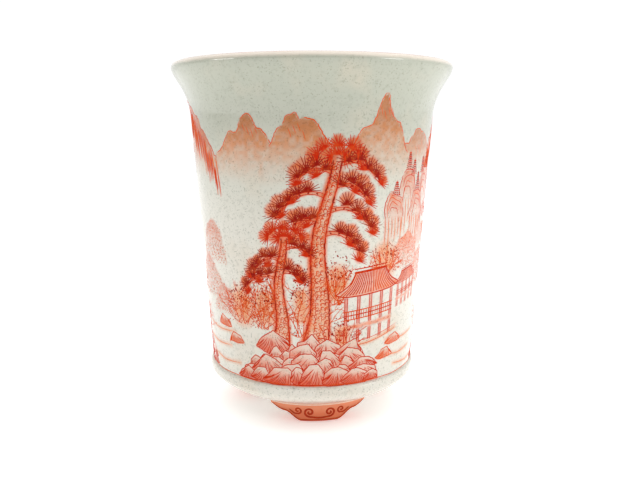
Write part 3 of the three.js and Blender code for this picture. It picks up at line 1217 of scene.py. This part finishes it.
def rock(outline, crest, hatches, ink, tint, width=0.56):
    """A faceted rock, hatched from its shaded foot towards its crest."""
    cover(outline)
    patch(outline, WASH_CORAL, 0.35, (0.2, 1.0), 0.6, seed=crest[0])
    patch(outline, WASH_ORANGE, 1.0, (0.2, 1.0), 1.15, seed=crest[1])
    patch(outline, tint, 1.3, (0.2, 1.0), 1.5, seed=crest[0])
    rim = smooth(np.vstack([outline, outline[:1]]), 0.5, soft=False)
    foot = rim[rim[:, 1] < crest[1] - 0.55 * np.ptp(rim[:, 1])]
    foot = foot[np.argsort(foot[:, 0])]
    for k in np.linspace(0, len(foot) - 1, hatches).astype(int):
        start = foot[k]
        end = start + (crest - start) * between(0.4, 0.78)
        bow = np.array([end[1] - start[1], start[0] - end[0]]) * 0.06
        brush([start, (start + end) / 2 + bow, end], 0.75 * width, ink, 1.0, 0.1)
    brush(rim + pick.normal(0, 0.05, rim.shape), width, ink, 0.9, 0.8, soft=False, step=0.5)


def boulder(x, z, width, height, ink=RED, tint=WASH_RED):
    """A rock of eight uneven sides that stands on a level."""
    share = np.array([0.0, 0.14, 0.36, 0.6, 0.85, 1.0, 0.78, 0.25])
    level = np.array([0.0, 0.5, 0.9, 1.0, 0.55, 0.05, -0.12, -0.14])
    share = share + pick.normal(0, 0.055, len(share))
    level = level + pick.normal(0, 0.09, len(level))
    if between(0, 1) < 0.5:
        share = 1 - share
    outline = np.stack([x + (share - 0.5) * width, z + level * height], axis=1)
    crest = outline[np.argmax(level)] - [0, 0.06 * height]
    rock(outline, crest, int(1.1 * width) + 3, ink, tint)


def rock_heap(middle, half, top, rows):
    """Rows of rocks from the back of a heap to its front, which widens downwards to the ledge."""
    bottom = SEAT + 1.2
    for row in range(rows):
        share = row / (rows - 1)
        level = top - (top - bottom) * (0.3 + 0.7 * share) - 2
        reach = half * (0.58 + 0.42 * share)
        x = middle - reach
        while x < middle + reach:
            width = between(5.5, 14)
            away = abs(x + 0.4 * width - middle) / half
            height = between(5.5, 7.5 + 0.25 * width) * (1 - 0.45 * away)
            boulder(x + 0.4 * width, max(bottom, level + between(-1.4, 1.4)), 1.15 * width, height)
            x += 0.74 * width


def water(x, z, length, tint=WASH_CORAL):
    """A level stroke of water with its wash."""
    curve = [(x - 0.5 * length, z + 1.2), (x, z), (x + 0.5 * length, z + 0.8)]
    pool(curve, 1.3, tint, 0.7, 1.3, seed=x)
    brush(curve, 0.38, CORAL, 0.3, 0.2)


# %% Paint the foreground
motif = "rocks"
# Each stroke of water: place, level, length
WATER = ((-46, 36, 22), (-48, 30, 20), (-43, 24, 20), (40, 33, 22), (38, 27, 20), (46, 22, 22))
for x, z, length in WATER:
    water(x, z, length)
rock_heap(-4, half=29, top=38.5, rows=5)
for x, z in ((-41, 38.6), (-35, 33), (34, 32.4), (29, 27.6)):
    boulder(x, z, 9, 3.4, BRICK, WASH_ORANGE)
pool([(-26, 19.4), (0, 19.3), (26, 19.4)], 0.8, WASH_RED, 0.75, 0.6, seed=71)
tell()

# %% [markdown]
# ## Round the back
# The other side of the pot goes on quietly: more distant peaks, two pines on rocks, and open water. The
# same rules paint it, with fewer marks.

# %% Paint the back
motif = "back"
# Each peak here: left end, width, crest
BACK_PEAKS = ((54, 30, 114), (80, 26, 117), (108, 28, 112), (-86, 28, 116), (-112, 26, 113), (-136, 24, 117))
for left, width, top in BACK_PEAKS:
    peak(left, left + width, 98, top, between(0.35, 0.65), WASH_CORAL, 0.8)
BACK_WATER = (
    (72, 31, 20), (96, 36, 26), (-74, 29, 18), (-100, 34, 24), (122, 27, 18), (-126, 30, 16), (86, 24, 22),
)
for x, z, length in BACK_WATER:
    water(x, z, length, WASH_PALE)
back_boughs = [(0.6, 12, 5), (0.66, -12, 5), (0.82, 13, 5), (0.9, -11, 4)]
for x, lean in ((104, 4), (-106, -4)):
    pine(x, 30, height=40, girth=4.6, lean=lean, boughs=back_boughs, needle=4.2)
    rock_heap(x, half=16, top=31, rows=3)
for x in (66, -68):
    bush(x, 30, 18, 18)
    rock_heap(x, half=11, top=29, rows=3)
tell()

# %% Paint the border line
turn_round = np.linspace(-HALF_ROUND, HALF_ROUND, 260)
border = np.stack([turn_round, SEAT + 0.45 + 0.08 * np.sin(turn_round * 0.31)], axis=1)
strokes.append(("rocks", border, np.full(len(border), 0.26), np.array(BRICK[:3])))
print("strokes:", len(strokes), "| fans:", len(fans), "| dabs:", len(dabs))

# %% [markdown]
# ## Raised enamel
# The marks stand a little proud of the glaze, as fired enamel does. They could be bump in a material,
# but then the mesh would hold no picture. One tree makes them all from a host mesh that holds a motif
# flat: its edges are strokes, and its loose points are needle fans and dabs. Strokes become closed
# threads as wide as their half-width says. Each fan point is multiplied into needles that turn through
# its opening. Each dab becomes a flattened drop. Last, everything is wrapped round the wall.

# %% Make the enamel
THIN_ENAMEL = shade(228, 104, 40)


def make_enamel(name):
    """Iron-red enamel, its tone held at each point as ink and thinned here and there as a brush leaves it."""
    material, tree, shader, place = new_material(name)
    ink = add_node(tree, "ShaderNodeAttribute", {"attribute_name": "ink"}).outputs["Color"]
    thin = math_node(tree, "MULTIPLY", step_between(tree, noise(tree, place, 700.0, 2.0), 0.4, 0.75), 0.25)
    tree.links.new(mix_colour(tree, thin, ink, THIN_ENAMEL), shader.inputs["Base Color"])
    shader.inputs["Roughness"].default_value = 0.42
    shader.inputs["Specular IOR Level"].default_value = 0.06
    return material


line_enamel = make_enamel("line_enamel")
print("enamel nodes:", len(line_enamel.node_tree.nodes))

# %% Build the tree that wraps the picture
WALL_SURFACE = {
    "Unrolled_radius": UNROLLED_RADIUS * MM,
    "Turn": PICTURE_TURN,
    "Seat": SEAT * MM,
    "Radius": WAIST_RADIUS * MM,
    "Taper": TAPER,
    "Neck": NECK * MM,
    "Flare": FLARE / MM,
}
SURFACE_INPUTS = [(label.replace("_", " "), "Float", value) for label, value in WALL_SURFACE.items()]


def build_wrapping_group():
    """Wraps flat geometry round a turned surface: X goes round, Y goes up, and Z stands off the surface."""
    tree, group_in, group_out = new_tree("wrap_round_a_pot", SURFACE_INPUTS)
    facts = group_in.outputs
    flat_place = add_node(tree, "GeometryNodeInputPosition").outputs[0]
    spot = add_node(tree, "ShaderNodeSeparateXYZ", i0=flat_place)
    angle = math_node(tree, "DIVIDE", spot.outputs["X"], facts["Unrolled radius"])
    angle = math_node(tree, "ADD", angle, facts["Turn"])
    above_seat = math_node(tree, "SUBTRACT", spot.outputs["Y"], facts["Seat"])
    above_neck = math_node(tree, "SUBTRACT", spot.outputs["Y"], facts["Neck"])
    above_neck = math_node(tree, "MAXIMUM", above_neck, 0.0)
    flared = math_node(tree, "MULTIPLY", math_node(tree, "MULTIPLY", above_neck, above_neck), facts["Flare"])
    straight = math_node(tree, "MULTIPLY_ADD", above_seat, facts["Taper"], facts["Radius"])
    radius = math_node(tree, "ADD", math_node(tree, "ADD", straight, flared), spot.outputs["Z"])
    to_front = math_node(tree, "COSINE", math_node(tree, "ADD", angle, math.pi))
    place = add_node(
        tree, "ShaderNodeCombineXYZ",
        X=math_node(tree, "MULTIPLY", radius, math_node(tree, "SINE", angle)),
        Y=math_node(tree, "MULTIPLY", radius, to_front),
        Z=spot.outputs["Y"],
    ).outputs[0]
    moved = add_node(tree, "GeometryNodeSetPosition", Geometry=facts["Geometry"], Position=place)
    tree.links.new(moved.outputs[0], group_out.inputs[0])
    return tree


wrapping_group = build_wrapping_group()
print("nodes in the wrapping group:", len(wrapping_group.nodes))

# %% Define what the enamel tree reads
STROKE, FAN, DAB = 0, 1, 2  # the kinds of mark on the host


def read(tree, name):
    """A number held at each point of the host under this name."""
    reader = add_node(tree, "GeometryNodeInputNamedAttribute", {"data_type": "FLOAT"}, i0=name)
    return reader.outputs["Attribute"]


def is_kind(tree, kind):
    """True for the points of one kind of mark."""
    return math_node(tree, "COMPARE", read(tree, "kind"), float(kind), 0.1)


def points_of(tree, group_in, kind):
    """The host's points of one kind of mark."""
    host = group_in.outputs["Geometry"]
    return add_node(tree, "GeometryNodeMeshToPoints", i0=host, i1=is_kind(tree, kind)).outputs[0]


def flat_turn(tree, angle):
    """A turn within the flat picture."""
    return add_node(tree, "ShaderNodeCombineXYZ", X=0.0, Y=0.0, Z=angle).outputs[0]


def random_between(tree, group_in, low, high, salt):
    """A random number for each point, from the tree's seed and a salt that keeps two of them apart."""
    node = add_node(tree, "FunctionNodeRandomValue", {"data_type": "FLOAT"})
    node.inputs[2].default_value = low
    node.inputs[3].default_value = high
    tree.links.new(math_node(tree, "ADD", group_in.outputs["Seed"], salt), node.inputs["Seed"])
    return node.outputs[1]


# %% Make strokes into threads


def add_threads(tree, group_in):
    """Strokes: a low three-sided thread along each path."""
    paths = add_node(
        tree, "GeometryNodeMeshToCurve",
        i0=group_in.outputs["Geometry"], i1=is_kind(tree, STROKE),
    )
    paths = add_node(tree, "GeometryNodeSetCurveNormal", {"mode": "Z_UP"}, i0=paths.outputs[0])
    ring = add_node(tree, "GeometryNodeCurvePrimitiveCircle", Resolution=3, Radius=1.0)
    flat_side_down = (0.0, 0.0, -math.pi / 2)
    section = add_node(tree, "GeometryNodeTransform", Geometry=ring.outputs[0], Rotation=flat_side_down)
    squash = add_node(tree, "ShaderNodeCombineXYZ", X=1.15, Y=group_in.outputs["Crest"], Z=1.0)
    section = add_node(tree, "GeometryNodeTransform", Geometry=section.outputs[0], Scale=squash.outputs[0])
    threads = add_node(
        tree, "GeometryNodeCurveToMesh",
        Curve=paths.outputs[0], Scale=read(tree, "size"), Fill_Caps=True,
    )
    tree.links.new(section.outputs[0], threads.inputs["Profile Curve"])
    return threads


# %% Make fans into needles
NEEDLE_TIP, NEEDLE_HEART = 0.00011, 0.00024  # metres, the needle's radius at its two ends


def add_needles(tree, group_in):
    """Fans: each point multiplied into needles turned through the opening."""
    fan_points = points_of(tree, group_in, FAN)
    several = add_node(tree, "GeometryNodeDuplicateElements", {"domain": "POINT"}, Geometry=fan_points)
    tree.links.new(group_in.outputs["Needles"], several.inputs["Amount"])
    last = math_node(tree, "SUBTRACT", group_in.outputs["Needles"], 1.0)
    share = math_node(tree, "DIVIDE", several.outputs["Duplicate Index"], last)
    share = math_node(tree, "SUBTRACT", share, 0.5)
    swing = math_node(tree, "MULTIPLY_ADD", share, read(tree, "spread"), read(tree, "turn"))
    swing = math_node(tree, "ADD", swing, random_between(tree, group_in, -0.07, 0.07, 0.0))
    length = random_between(tree, group_in, 0.8, 1.08, 1.0)
    length = math_node(tree, "MULTIPLY", read(tree, "size"), length)
    cone = add_node(
        tree, "GeometryNodeMeshCone",
        Vertices=3, Radius_Top=NEEDLE_TIP, Radius_Bottom=NEEDLE_HEART, Depth=1.0,
    )
    lying = (0.0, math.pi / 2, 0.0)
    needle = add_node(tree, "GeometryNodeTransform", Geometry=cone.outputs["Mesh"], Rotation=lying)
    needle = add_node(tree, "GeometryNodeTransform", Geometry=needle.outputs[0], Scale=(1.0, 1.0, 0.7))
    reach = add_node(tree, "ShaderNodeCombineXYZ", X=length, Y=1.0, Z=1.0).outputs[0]
    return add_node(
        tree, "GeometryNodeInstanceOnPoints",
        Points=several.outputs["Geometry"], Instance=needle.outputs[0],
        Rotation=flat_turn(tree, swing), Scale=reach,
    )


# %% Make dabs into drops


def add_drops(tree, group_in):
    """Dabs: flattened drops, drawn out by their spread."""
    ball = add_node(tree, "GeometryNodeMeshIcoSphere", Radius=1.0, Subdivisions=1)
    drop = add_node(tree, "GeometryNodeTransform", Geometry=ball.outputs["Mesh"], Scale=(1.0, 1.0, 0.3))
    size = read(tree, "size")
    long_size = math_node(tree, "MULTIPLY", size, read(tree, "spread"))
    drop_size = add_node(tree, "ShaderNodeCombineXYZ", X=long_size, Y=size, Z=size).outputs[0]
    return add_node(
        tree, "GeometryNodeInstanceOnPoints",
        Points=points_of(tree, group_in, DAB), Instance=drop.outputs[0],
        Rotation=flat_turn(tree, read(tree, "turn")), Scale=drop_size,
    )


# %% Build the enamel tree


def build_enamel_tree():
    """Strokes, fans and dabs of one motif as closed shapes on the wall."""
    inputs = [("Enamel", "Material", None), ("Crest", "Float", 0.3), ("Needles", "Int", 12)]
    inputs += [("Seed", "Int", 3), *SURFACE_INPUTS]
    tree, group_in, group_out = new_tree("raised_enamel", inputs)
    joined = add_node(tree, "GeometryNodeJoinGeometry")
    for part in (add_drops(tree, group_in), add_needles(tree, group_in), add_threads(tree, group_in)):
        tree.links.new(part.outputs[0], joined.inputs[0])
    real = add_node(tree, "GeometryNodeRealizeInstances", Geometry=joined.outputs[0])
    wrapped = add_node(tree, "GeometryNodeGroup", {"node_tree": wrapping_group}, Geometry=real.outputs[0])
    for label, _, _ in SURFACE_INPUTS:
        tree.links.new(group_in.outputs[label], wrapped.inputs[label])
    enamel = group_in.outputs["Enamel"]
    inked = add_node(tree, "GeometryNodeSetMaterial", i0=wrapped.outputs[0], Material=enamel)
    tree.links.new(inked.outputs[0], group_out.inputs[0])
    return tree


enamel_tree = build_enamel_tree()
print("nodes in the enamel tree:", len(enamel_tree.nodes))

# %% Lay a motif out as a host


def motif_host(name):
    """A flat mesh that holds one motif's strokes as edges and its fans and dabs as loose points."""
    spots, edges, kinds, sizes, turns, spreads, inks = [], [], [], [], [], [], []
    for group, path, half, ink in strokes:
        if group == name:
            start = len(spots)
            spots += path.tolist()
            edges += [(start + i, start + i + 1) for i in range(len(path) - 1)]
            sizes += half.tolist()
            kinds += [STROKE] * len(path)
            turns += [0.0] * len(path)
            spreads += [1.0] * len(path)
            inks += [ink] * len(path)
    for kind, marks in ((FAN, fans), (DAB, dabs)):
        for mark in marks:
            if mark[0] != name:
                continue
            if kind == FAN:
                _, x, y, turn, size, spread, ink = mark
            else:
                _, x, y, size, ink, turn, spread = mark
            spots.append([x, y])
            kinds.append(kind)
            sizes.append(size)
            turns.append(turn)
            spreads.append(spread)
            inks.append(ink)
    mesh = bpy.data.meshes.new(name + "_marks")
    mesh.from_pydata([(x * MM, y * MM, 0.0) for x, y in spots], edges, [])
    held = {"kind": kinds, "size": np.array(sizes) * MM, "turn": turns, "spread": spreads}
    for label, values in held.items():
        layer = mesh.attributes.new(label, "FLOAT", "POINT")
        layer.data.foreach_set("value", np.array(values, np.float32))
    colours = np.ones((len(spots), 4), np.float32)
    colours[:, :3] = inks
    mesh.attributes.new("ink", "FLOAT_COLOR", "POINT").data.foreach_set("color", colours.ravel())
    return mesh


# %% Turn the marks into enamel pieces


def make_enamel_piece(name, surface, node):
    """One motif as a piece of raised enamel on a surface."""
    piece = run_tree("enamel_" + name, motif_host(name), enamel_tree, Enamel=line_enamel, **surface)
    for label in ("kind", "size", "turn", "spread"):
        if label in piece.data.attributes:
            piece.data.attributes.remove(piece.data.attributes[label])
    face_outwards(piece)
    shade_smooth(piece, 60)
    report(piece)
    seat_piece(piece, node)


for name in sorted({mark[0] for mark in strokes + fans + dabs}):
    make_enamel_piece(name, WALL_SURFACE, "wall")

# %% Lay the washes on the wall
wash_layer = wall.data.attributes.new("wash", "FLOAT_COLOR", "POINT")
held = np.ones((len(wash), 4), np.float32)
is_outside = np.hypot(wall_points[:, 0], wall_points[:, 1]) > wall_radius(wall_points[:, 2]) - 1.0
held[is_outside, :3] = wash[is_outside]
wash_layer.data.foreach_set("color", held.ravel())
print("points with wash:", int((held[:, :3].min(axis=1) < 0.97).sum()))

# %% [markdown]
# ## The feet
# Each foot is a curved bracket: a flat sole, an ogee edge that climbs to a notch, and end lobes that
# thin to a point. It could be cut from a ring, but its edge is a formula of the angle, so it is lofted
# through slices that follow the formula. It is covered in coral enamel. On its outer face darker lines
# draw a cloud scroll: two big spirals joined by a line along the bottom, a small spiral on each side,
# and a line that follows the edge.

# %% Give the foot its sizes and its edge
FOOT_ANGLES = {"foot_front": 0.0, "foot_rear_right": 120.0, "foot_rear_left": 240.0}
FOOT_OUTER_TOP = 30.9
FOOT_OUTER_BOTTOM = 29.0
FOOT_INNER = 23.6
HALF_SPAN, FLAT_SPAN, WAIST_SPAN = 37.0, 14.5, 25.5  # degrees from the foot's middle
NOTCH_HEIGHT = 3.9
TIP_THICKNESS = 1.4
FOOT_ROUNDING = 0.9  # of the lower corners
FOOT_SLICES = 121


def foot_edge(degrees):
    """Height of the foot's lower edge at an angle from its middle."""
    away = np.abs(degrees)
    climb = np.clip((away - FLAT_SPAN) / (WAIST_SPAN - FLAT_SPAN), 0, 1)
    ogee = NOTCH_HEIGHT * (0.35 * climb + 0.65 * np.sin(climb * math.pi / 2) ** 2)
    lobe = np.clip((away - WAIST_SPAN) / (HALF_SPAN - WAIST_SPAN), 0, 1)
    swell = (DISH_BOTTOM - TIP_THICKNESS - NOTCH_HEIGHT) * (1 - np.cos(lobe * math.pi / 2))
    return ogee + swell


print("foot edge at the middle, notch and tip, mm:", foot_edge(np.array([0.0, WAIST_SPAN, HALF_SPAN])))

# %% Colour the feet
FOOT_CORAL = shade(218, 112, 68)
FOOT_PALE = shade(234, 150, 110)
FOOT_GRIT = shade(196, 84, 48)


def make_foot_enamel():
    """Coral enamel, thinner and paler towards the top and in soft patches."""
    material, tree, shader, place = new_material("foot_enamel")
    height = add_node(tree, "ShaderNodeSeparateXYZ", i0=place).outputs["Z"]
    cloud = noise(tree, place, 160.0, 3.0)
    patchy = math_node(tree, "SUBTRACT", cloud, 0.75)
    thin = math_node(tree, "ADD", step_between(tree, height, 0.001, 0.009), patchy)
    colour = mix_colour(tree, thin, FOOT_CORAL, FOOT_PALE)
    grit = math_node(tree, "MULTIPLY", step_between(tree, noise(tree, place, 1500.0, 1.0), 0.6, 0.8), 0.25)
    tree.links.new(mix_colour(tree, grit, colour, FOOT_GRIT), shader.inputs["Base Color"])
    bump = add_node(tree, "ShaderNodeBump", Height=cloud, Strength=0.4, Distance=0.0004)
    tree.links.new(bump.outputs[0], shader.inputs["Normal"])
    shader.inputs["Roughness"].default_value = 0.3
    return material


foot_enamel = make_foot_enamel()
print("foot enamel nodes:", len(foot_enamel.node_tree.nodes))

# %% Loft a foot


def foot_body(name, turn):
    """A foot's solid, lofted through slices whose lower corners are rounded."""
    slices = []
    for degrees in np.linspace(-HALF_SPAN, HALF_SPAN, FOOT_SLICES):
        low, high = float(foot_edge(degrees)), DISH_BOTTOM
        rounding = min(FOOT_ROUNDING, 0.4 * (high - low))
        outer_low = FOOT_OUTER_BOTTOM + (FOOT_OUTER_TOP - FOOT_OUTER_BOTTOM) * low / high
        outline = [(FOOT_OUTER_TOP, high), (FOOT_INNER, high)]
        outline += list(arc(FOOT_INNER + rounding, low + rounding, rounding, 180, 270, 5))
        outline += list(arc(outer_low - rounding, low + rounding, rounding, 270, 360, 5))
        angle = math.radians(degrees + turn)
        sine, cosine = math.sin(angle), math.cos(angle)
        slices.append([(r * sine * MM, -r * cosine * MM, z * MM) for r, z in outline])
    count = len(slices[0])
    faces = []
    for first in range(0, (len(slices) - 1) * count, count):
        for corner in range(count):
            here, ahead = first + corner, first + (corner + 1) % count
            faces.append((here, here + count, ahead + count, ahead))
    faces += [tuple(range(count)), tuple(range((len(slices) - 1) * count, len(slices) * count))]
    mesh = bpy.data.meshes.new(name)
    mesh.from_pydata([point for ring in slices for point in ring], [], faces)
    piece = bpy.data.objects.new(name, mesh)
    bpy.context.scene.collection.objects.link(piece)
    mesh.materials.append(foot_enamel)
    face_outwards(piece)
    shade_smooth(piece, 35)
    report(piece)
    return piece


# %% Draw the cloud scroll
FOOT_UNROLLED = 29.9  # the radius at which the foot's outer face is unrolled
SCROLL_INK = shade(172, 52, 26)
EDGE_INK = shade(190, 72, 38)
JOINT_LINE_AND_HIGHLIGHT = shade(236, 214, 196)  # a pale line at the foot's top: glaze at the joint with the dish, and painted highlight of the dish's lower edge


def spiral(x, z, size, side, turns=1.45):
    """A scroll that starts at its outside, low towards the foot's middle, and winds in."""
    share = np.linspace(0, 1, 22)
    angle = -0.5 * math.pi - share * turns * 2 * math.pi
    radius = size * (1 - 0.86 * share)
    return np.stack([x + side * radius * np.cos(angle), z + radius * np.sin(angle)], axis=1)


def draw_scroll():
    """The scroll of one foot, in the plane of its unrolled outer face."""
    for side in (-1, 1):
        brush(spiral(side * 3.9, 4.3, 2.05, -side), 0.8, SCROLL_INK, 0.9, 0.6, step=0.3)
        brush(spiral(side * 8.4, 5.0, 1.5, side, 1.2), 0.7, SCROLL_INK, 0.9, 0.6, step=0.3)
        tail = [(side * 8.4, 3.6), (side * 9.8, 3.7), (side * 11.8, 5.4)]
        brush(tail, 0.6, SCROLL_INK, 0.9, 0.3, step=0.4)
    brush([(-4.2, 2.25), (0, 1.8), (4.2, 2.25)], 0.75, SCROLL_INK, 0.9, 0.9, step=0.5)
    reach = np.linspace(-HALF_SPAN + 1.5, HALF_SPAN - 1.5, 90)
    across = np.radians(reach) * FOOT_UNROLLED
    edge = np.stack([across, foot_edge(reach) + 0.75], axis=1)
    brush(edge, 0.6, EDGE_INK, 0.5, 0.5, soft=False, step=0.5)
    top = np.stack([across, np.full(len(across), DISH_BOTTOM - 0.35)], axis=1)
    brush(top, 0.6, JOINT_LINE_AND_HIGHLIGHT, 0.4, 0.4, soft=False, step=0.6)


# %% Make the three feet
for node, turn in FOOT_ANGLES.items():
    seat_piece(foot_body("pot_" + node, turn), node)
    motif = node
    draw_scroll()
    foot_surface = {
        "Unrolled_radius": FOOT_UNROLLED * MM,
        "Turn": math.radians(turn),
        "Seat": 0.0,
        "Radius": FOOT_OUTER_BOTTOM * MM,
        "Taper": (FOOT_OUTER_TOP - FOOT_OUTER_BOTTOM) / DISH_BOTTOM,
        "Neck": 1.0,
        "Flare": 0.0,
    }
    make_enamel_piece(node, foot_surface, node)

# %% [markdown]
# ## The room
# The pot stands on a wide pale floor in a bright white room. Small bright lamps would leave hard spots
# all over the gloss. So the room itself gives most of the light, and it is dimmer on the left and
# behind the viewer, which models the round wall. An overhead panel whitens the floor, and two low
# windows put streaks of light on the lip.

# %% Build the floor
FLOOR_HALF = 1.1  # metres


def build_floor():
    """A pale floor, wide enough that its far edge melts into the white room."""
    mesh = bpy.data.meshes.new("floor")
    corners = [(-1, -1), (1, -1), (1, 1), (-1, 1)]
    mesh.from_pydata([(FLOOR_HALF * x, FLOOR_HALF * y, 0.0) for x, y in corners], [], [(0, 1, 2, 3)])
    floor = bpy.data.objects.new("floor", mesh)
    bpy.context.scene.collection.objects.link(floor)
    material, tree, shader, place = new_material("floor_paper")
    tone = mix_colour(tree, noise(tree, place, 3.0, 2.0), shade(251, 251, 251), shade(254, 254, 254))
    tree.links.new(tone, shader.inputs["Base Color"])
    shader.inputs["Roughness"].default_value = 0.9
    shader.inputs["Specular IOR Level"].default_value = 0.1
    shader.inputs["Emission Color"].default_value = (1.0, 1.0, 1.0, 1.0)
    shader.inputs["Emission Strength"].default_value = 0.3
    mesh.materials.append(material)


build_floor()
print("floor, m:", 2 * FLOOR_HALF)

# %% Define the room's light


def soft_light(name, place, width, height, power):
    """An area light at a place, aimed at the pot's middle, with places and sizes in millimetres."""
    light = bpy.data.lights.new(name, "AREA")
    light.shape = "RECTANGLE"
    light.size, light.size_y = width * MM, height * MM
    light.energy = power
    stand = bpy.data.objects.new(name, light)
    bpy.context.scene.collection.objects.link(stand)
    stand.location = Vector(place) * MM
    aim = Vector((0.0, 0.0, TOP / 2)) - Vector(place)
    stand.rotation_euler = aim.to_track_quat("-Z", "Y").to_euler()
    print(name, "is", round(aim.length), "mm from the pot's middle")


def white_room(low, high):
    """A world of plain white light that brightens from the left and near side to the right and far side."""
    world = bpy.data.worlds.new("studio")
    bpy.context.scene.world = world
    world.use_nodes = True
    tree = world.node_tree
    around = tree.nodes.new("ShaderNodeTexCoord").outputs["Generated"]
    way = add_node(tree, "ShaderNodeSeparateXYZ", i0=around)
    lean = math_node(tree, "ADD", math_node(tree, "MULTIPLY", way.outputs["X"], 0.75), way.outputs["Y"])
    strength = add_node(tree, "ShaderNodeMapRange", {"interpolation_type": "SMOOTHSTEP"}, Value=lean)
    strength.inputs["From Min"].default_value = -1.15
    strength.inputs["From Max"].default_value = 0.35
    strength.inputs["To Min"].default_value = low
    strength.inputs["To Max"].default_value = high
    backdrop = tree.nodes["Background"]
    backdrop.inputs["Color"].default_value = (1.0, 1.0, 1.0, 1.0)
    tree.links.new(strength.outputs[0], backdrop.inputs["Strength"])


# %% Light the room
white_room(low=0.26, high=1.03)
soft_light("overhead", (0, 100, 1500), width=2200, height=2200, power=10.0)
soft_light("window_right", (880, -560, 270), width=380, height=150, power=1.7)
soft_light("window_left", (-970, -230, 270), width=360, height=120, power=1.4)
bpy.context.scene.view_settings.view_transform = "Standard"
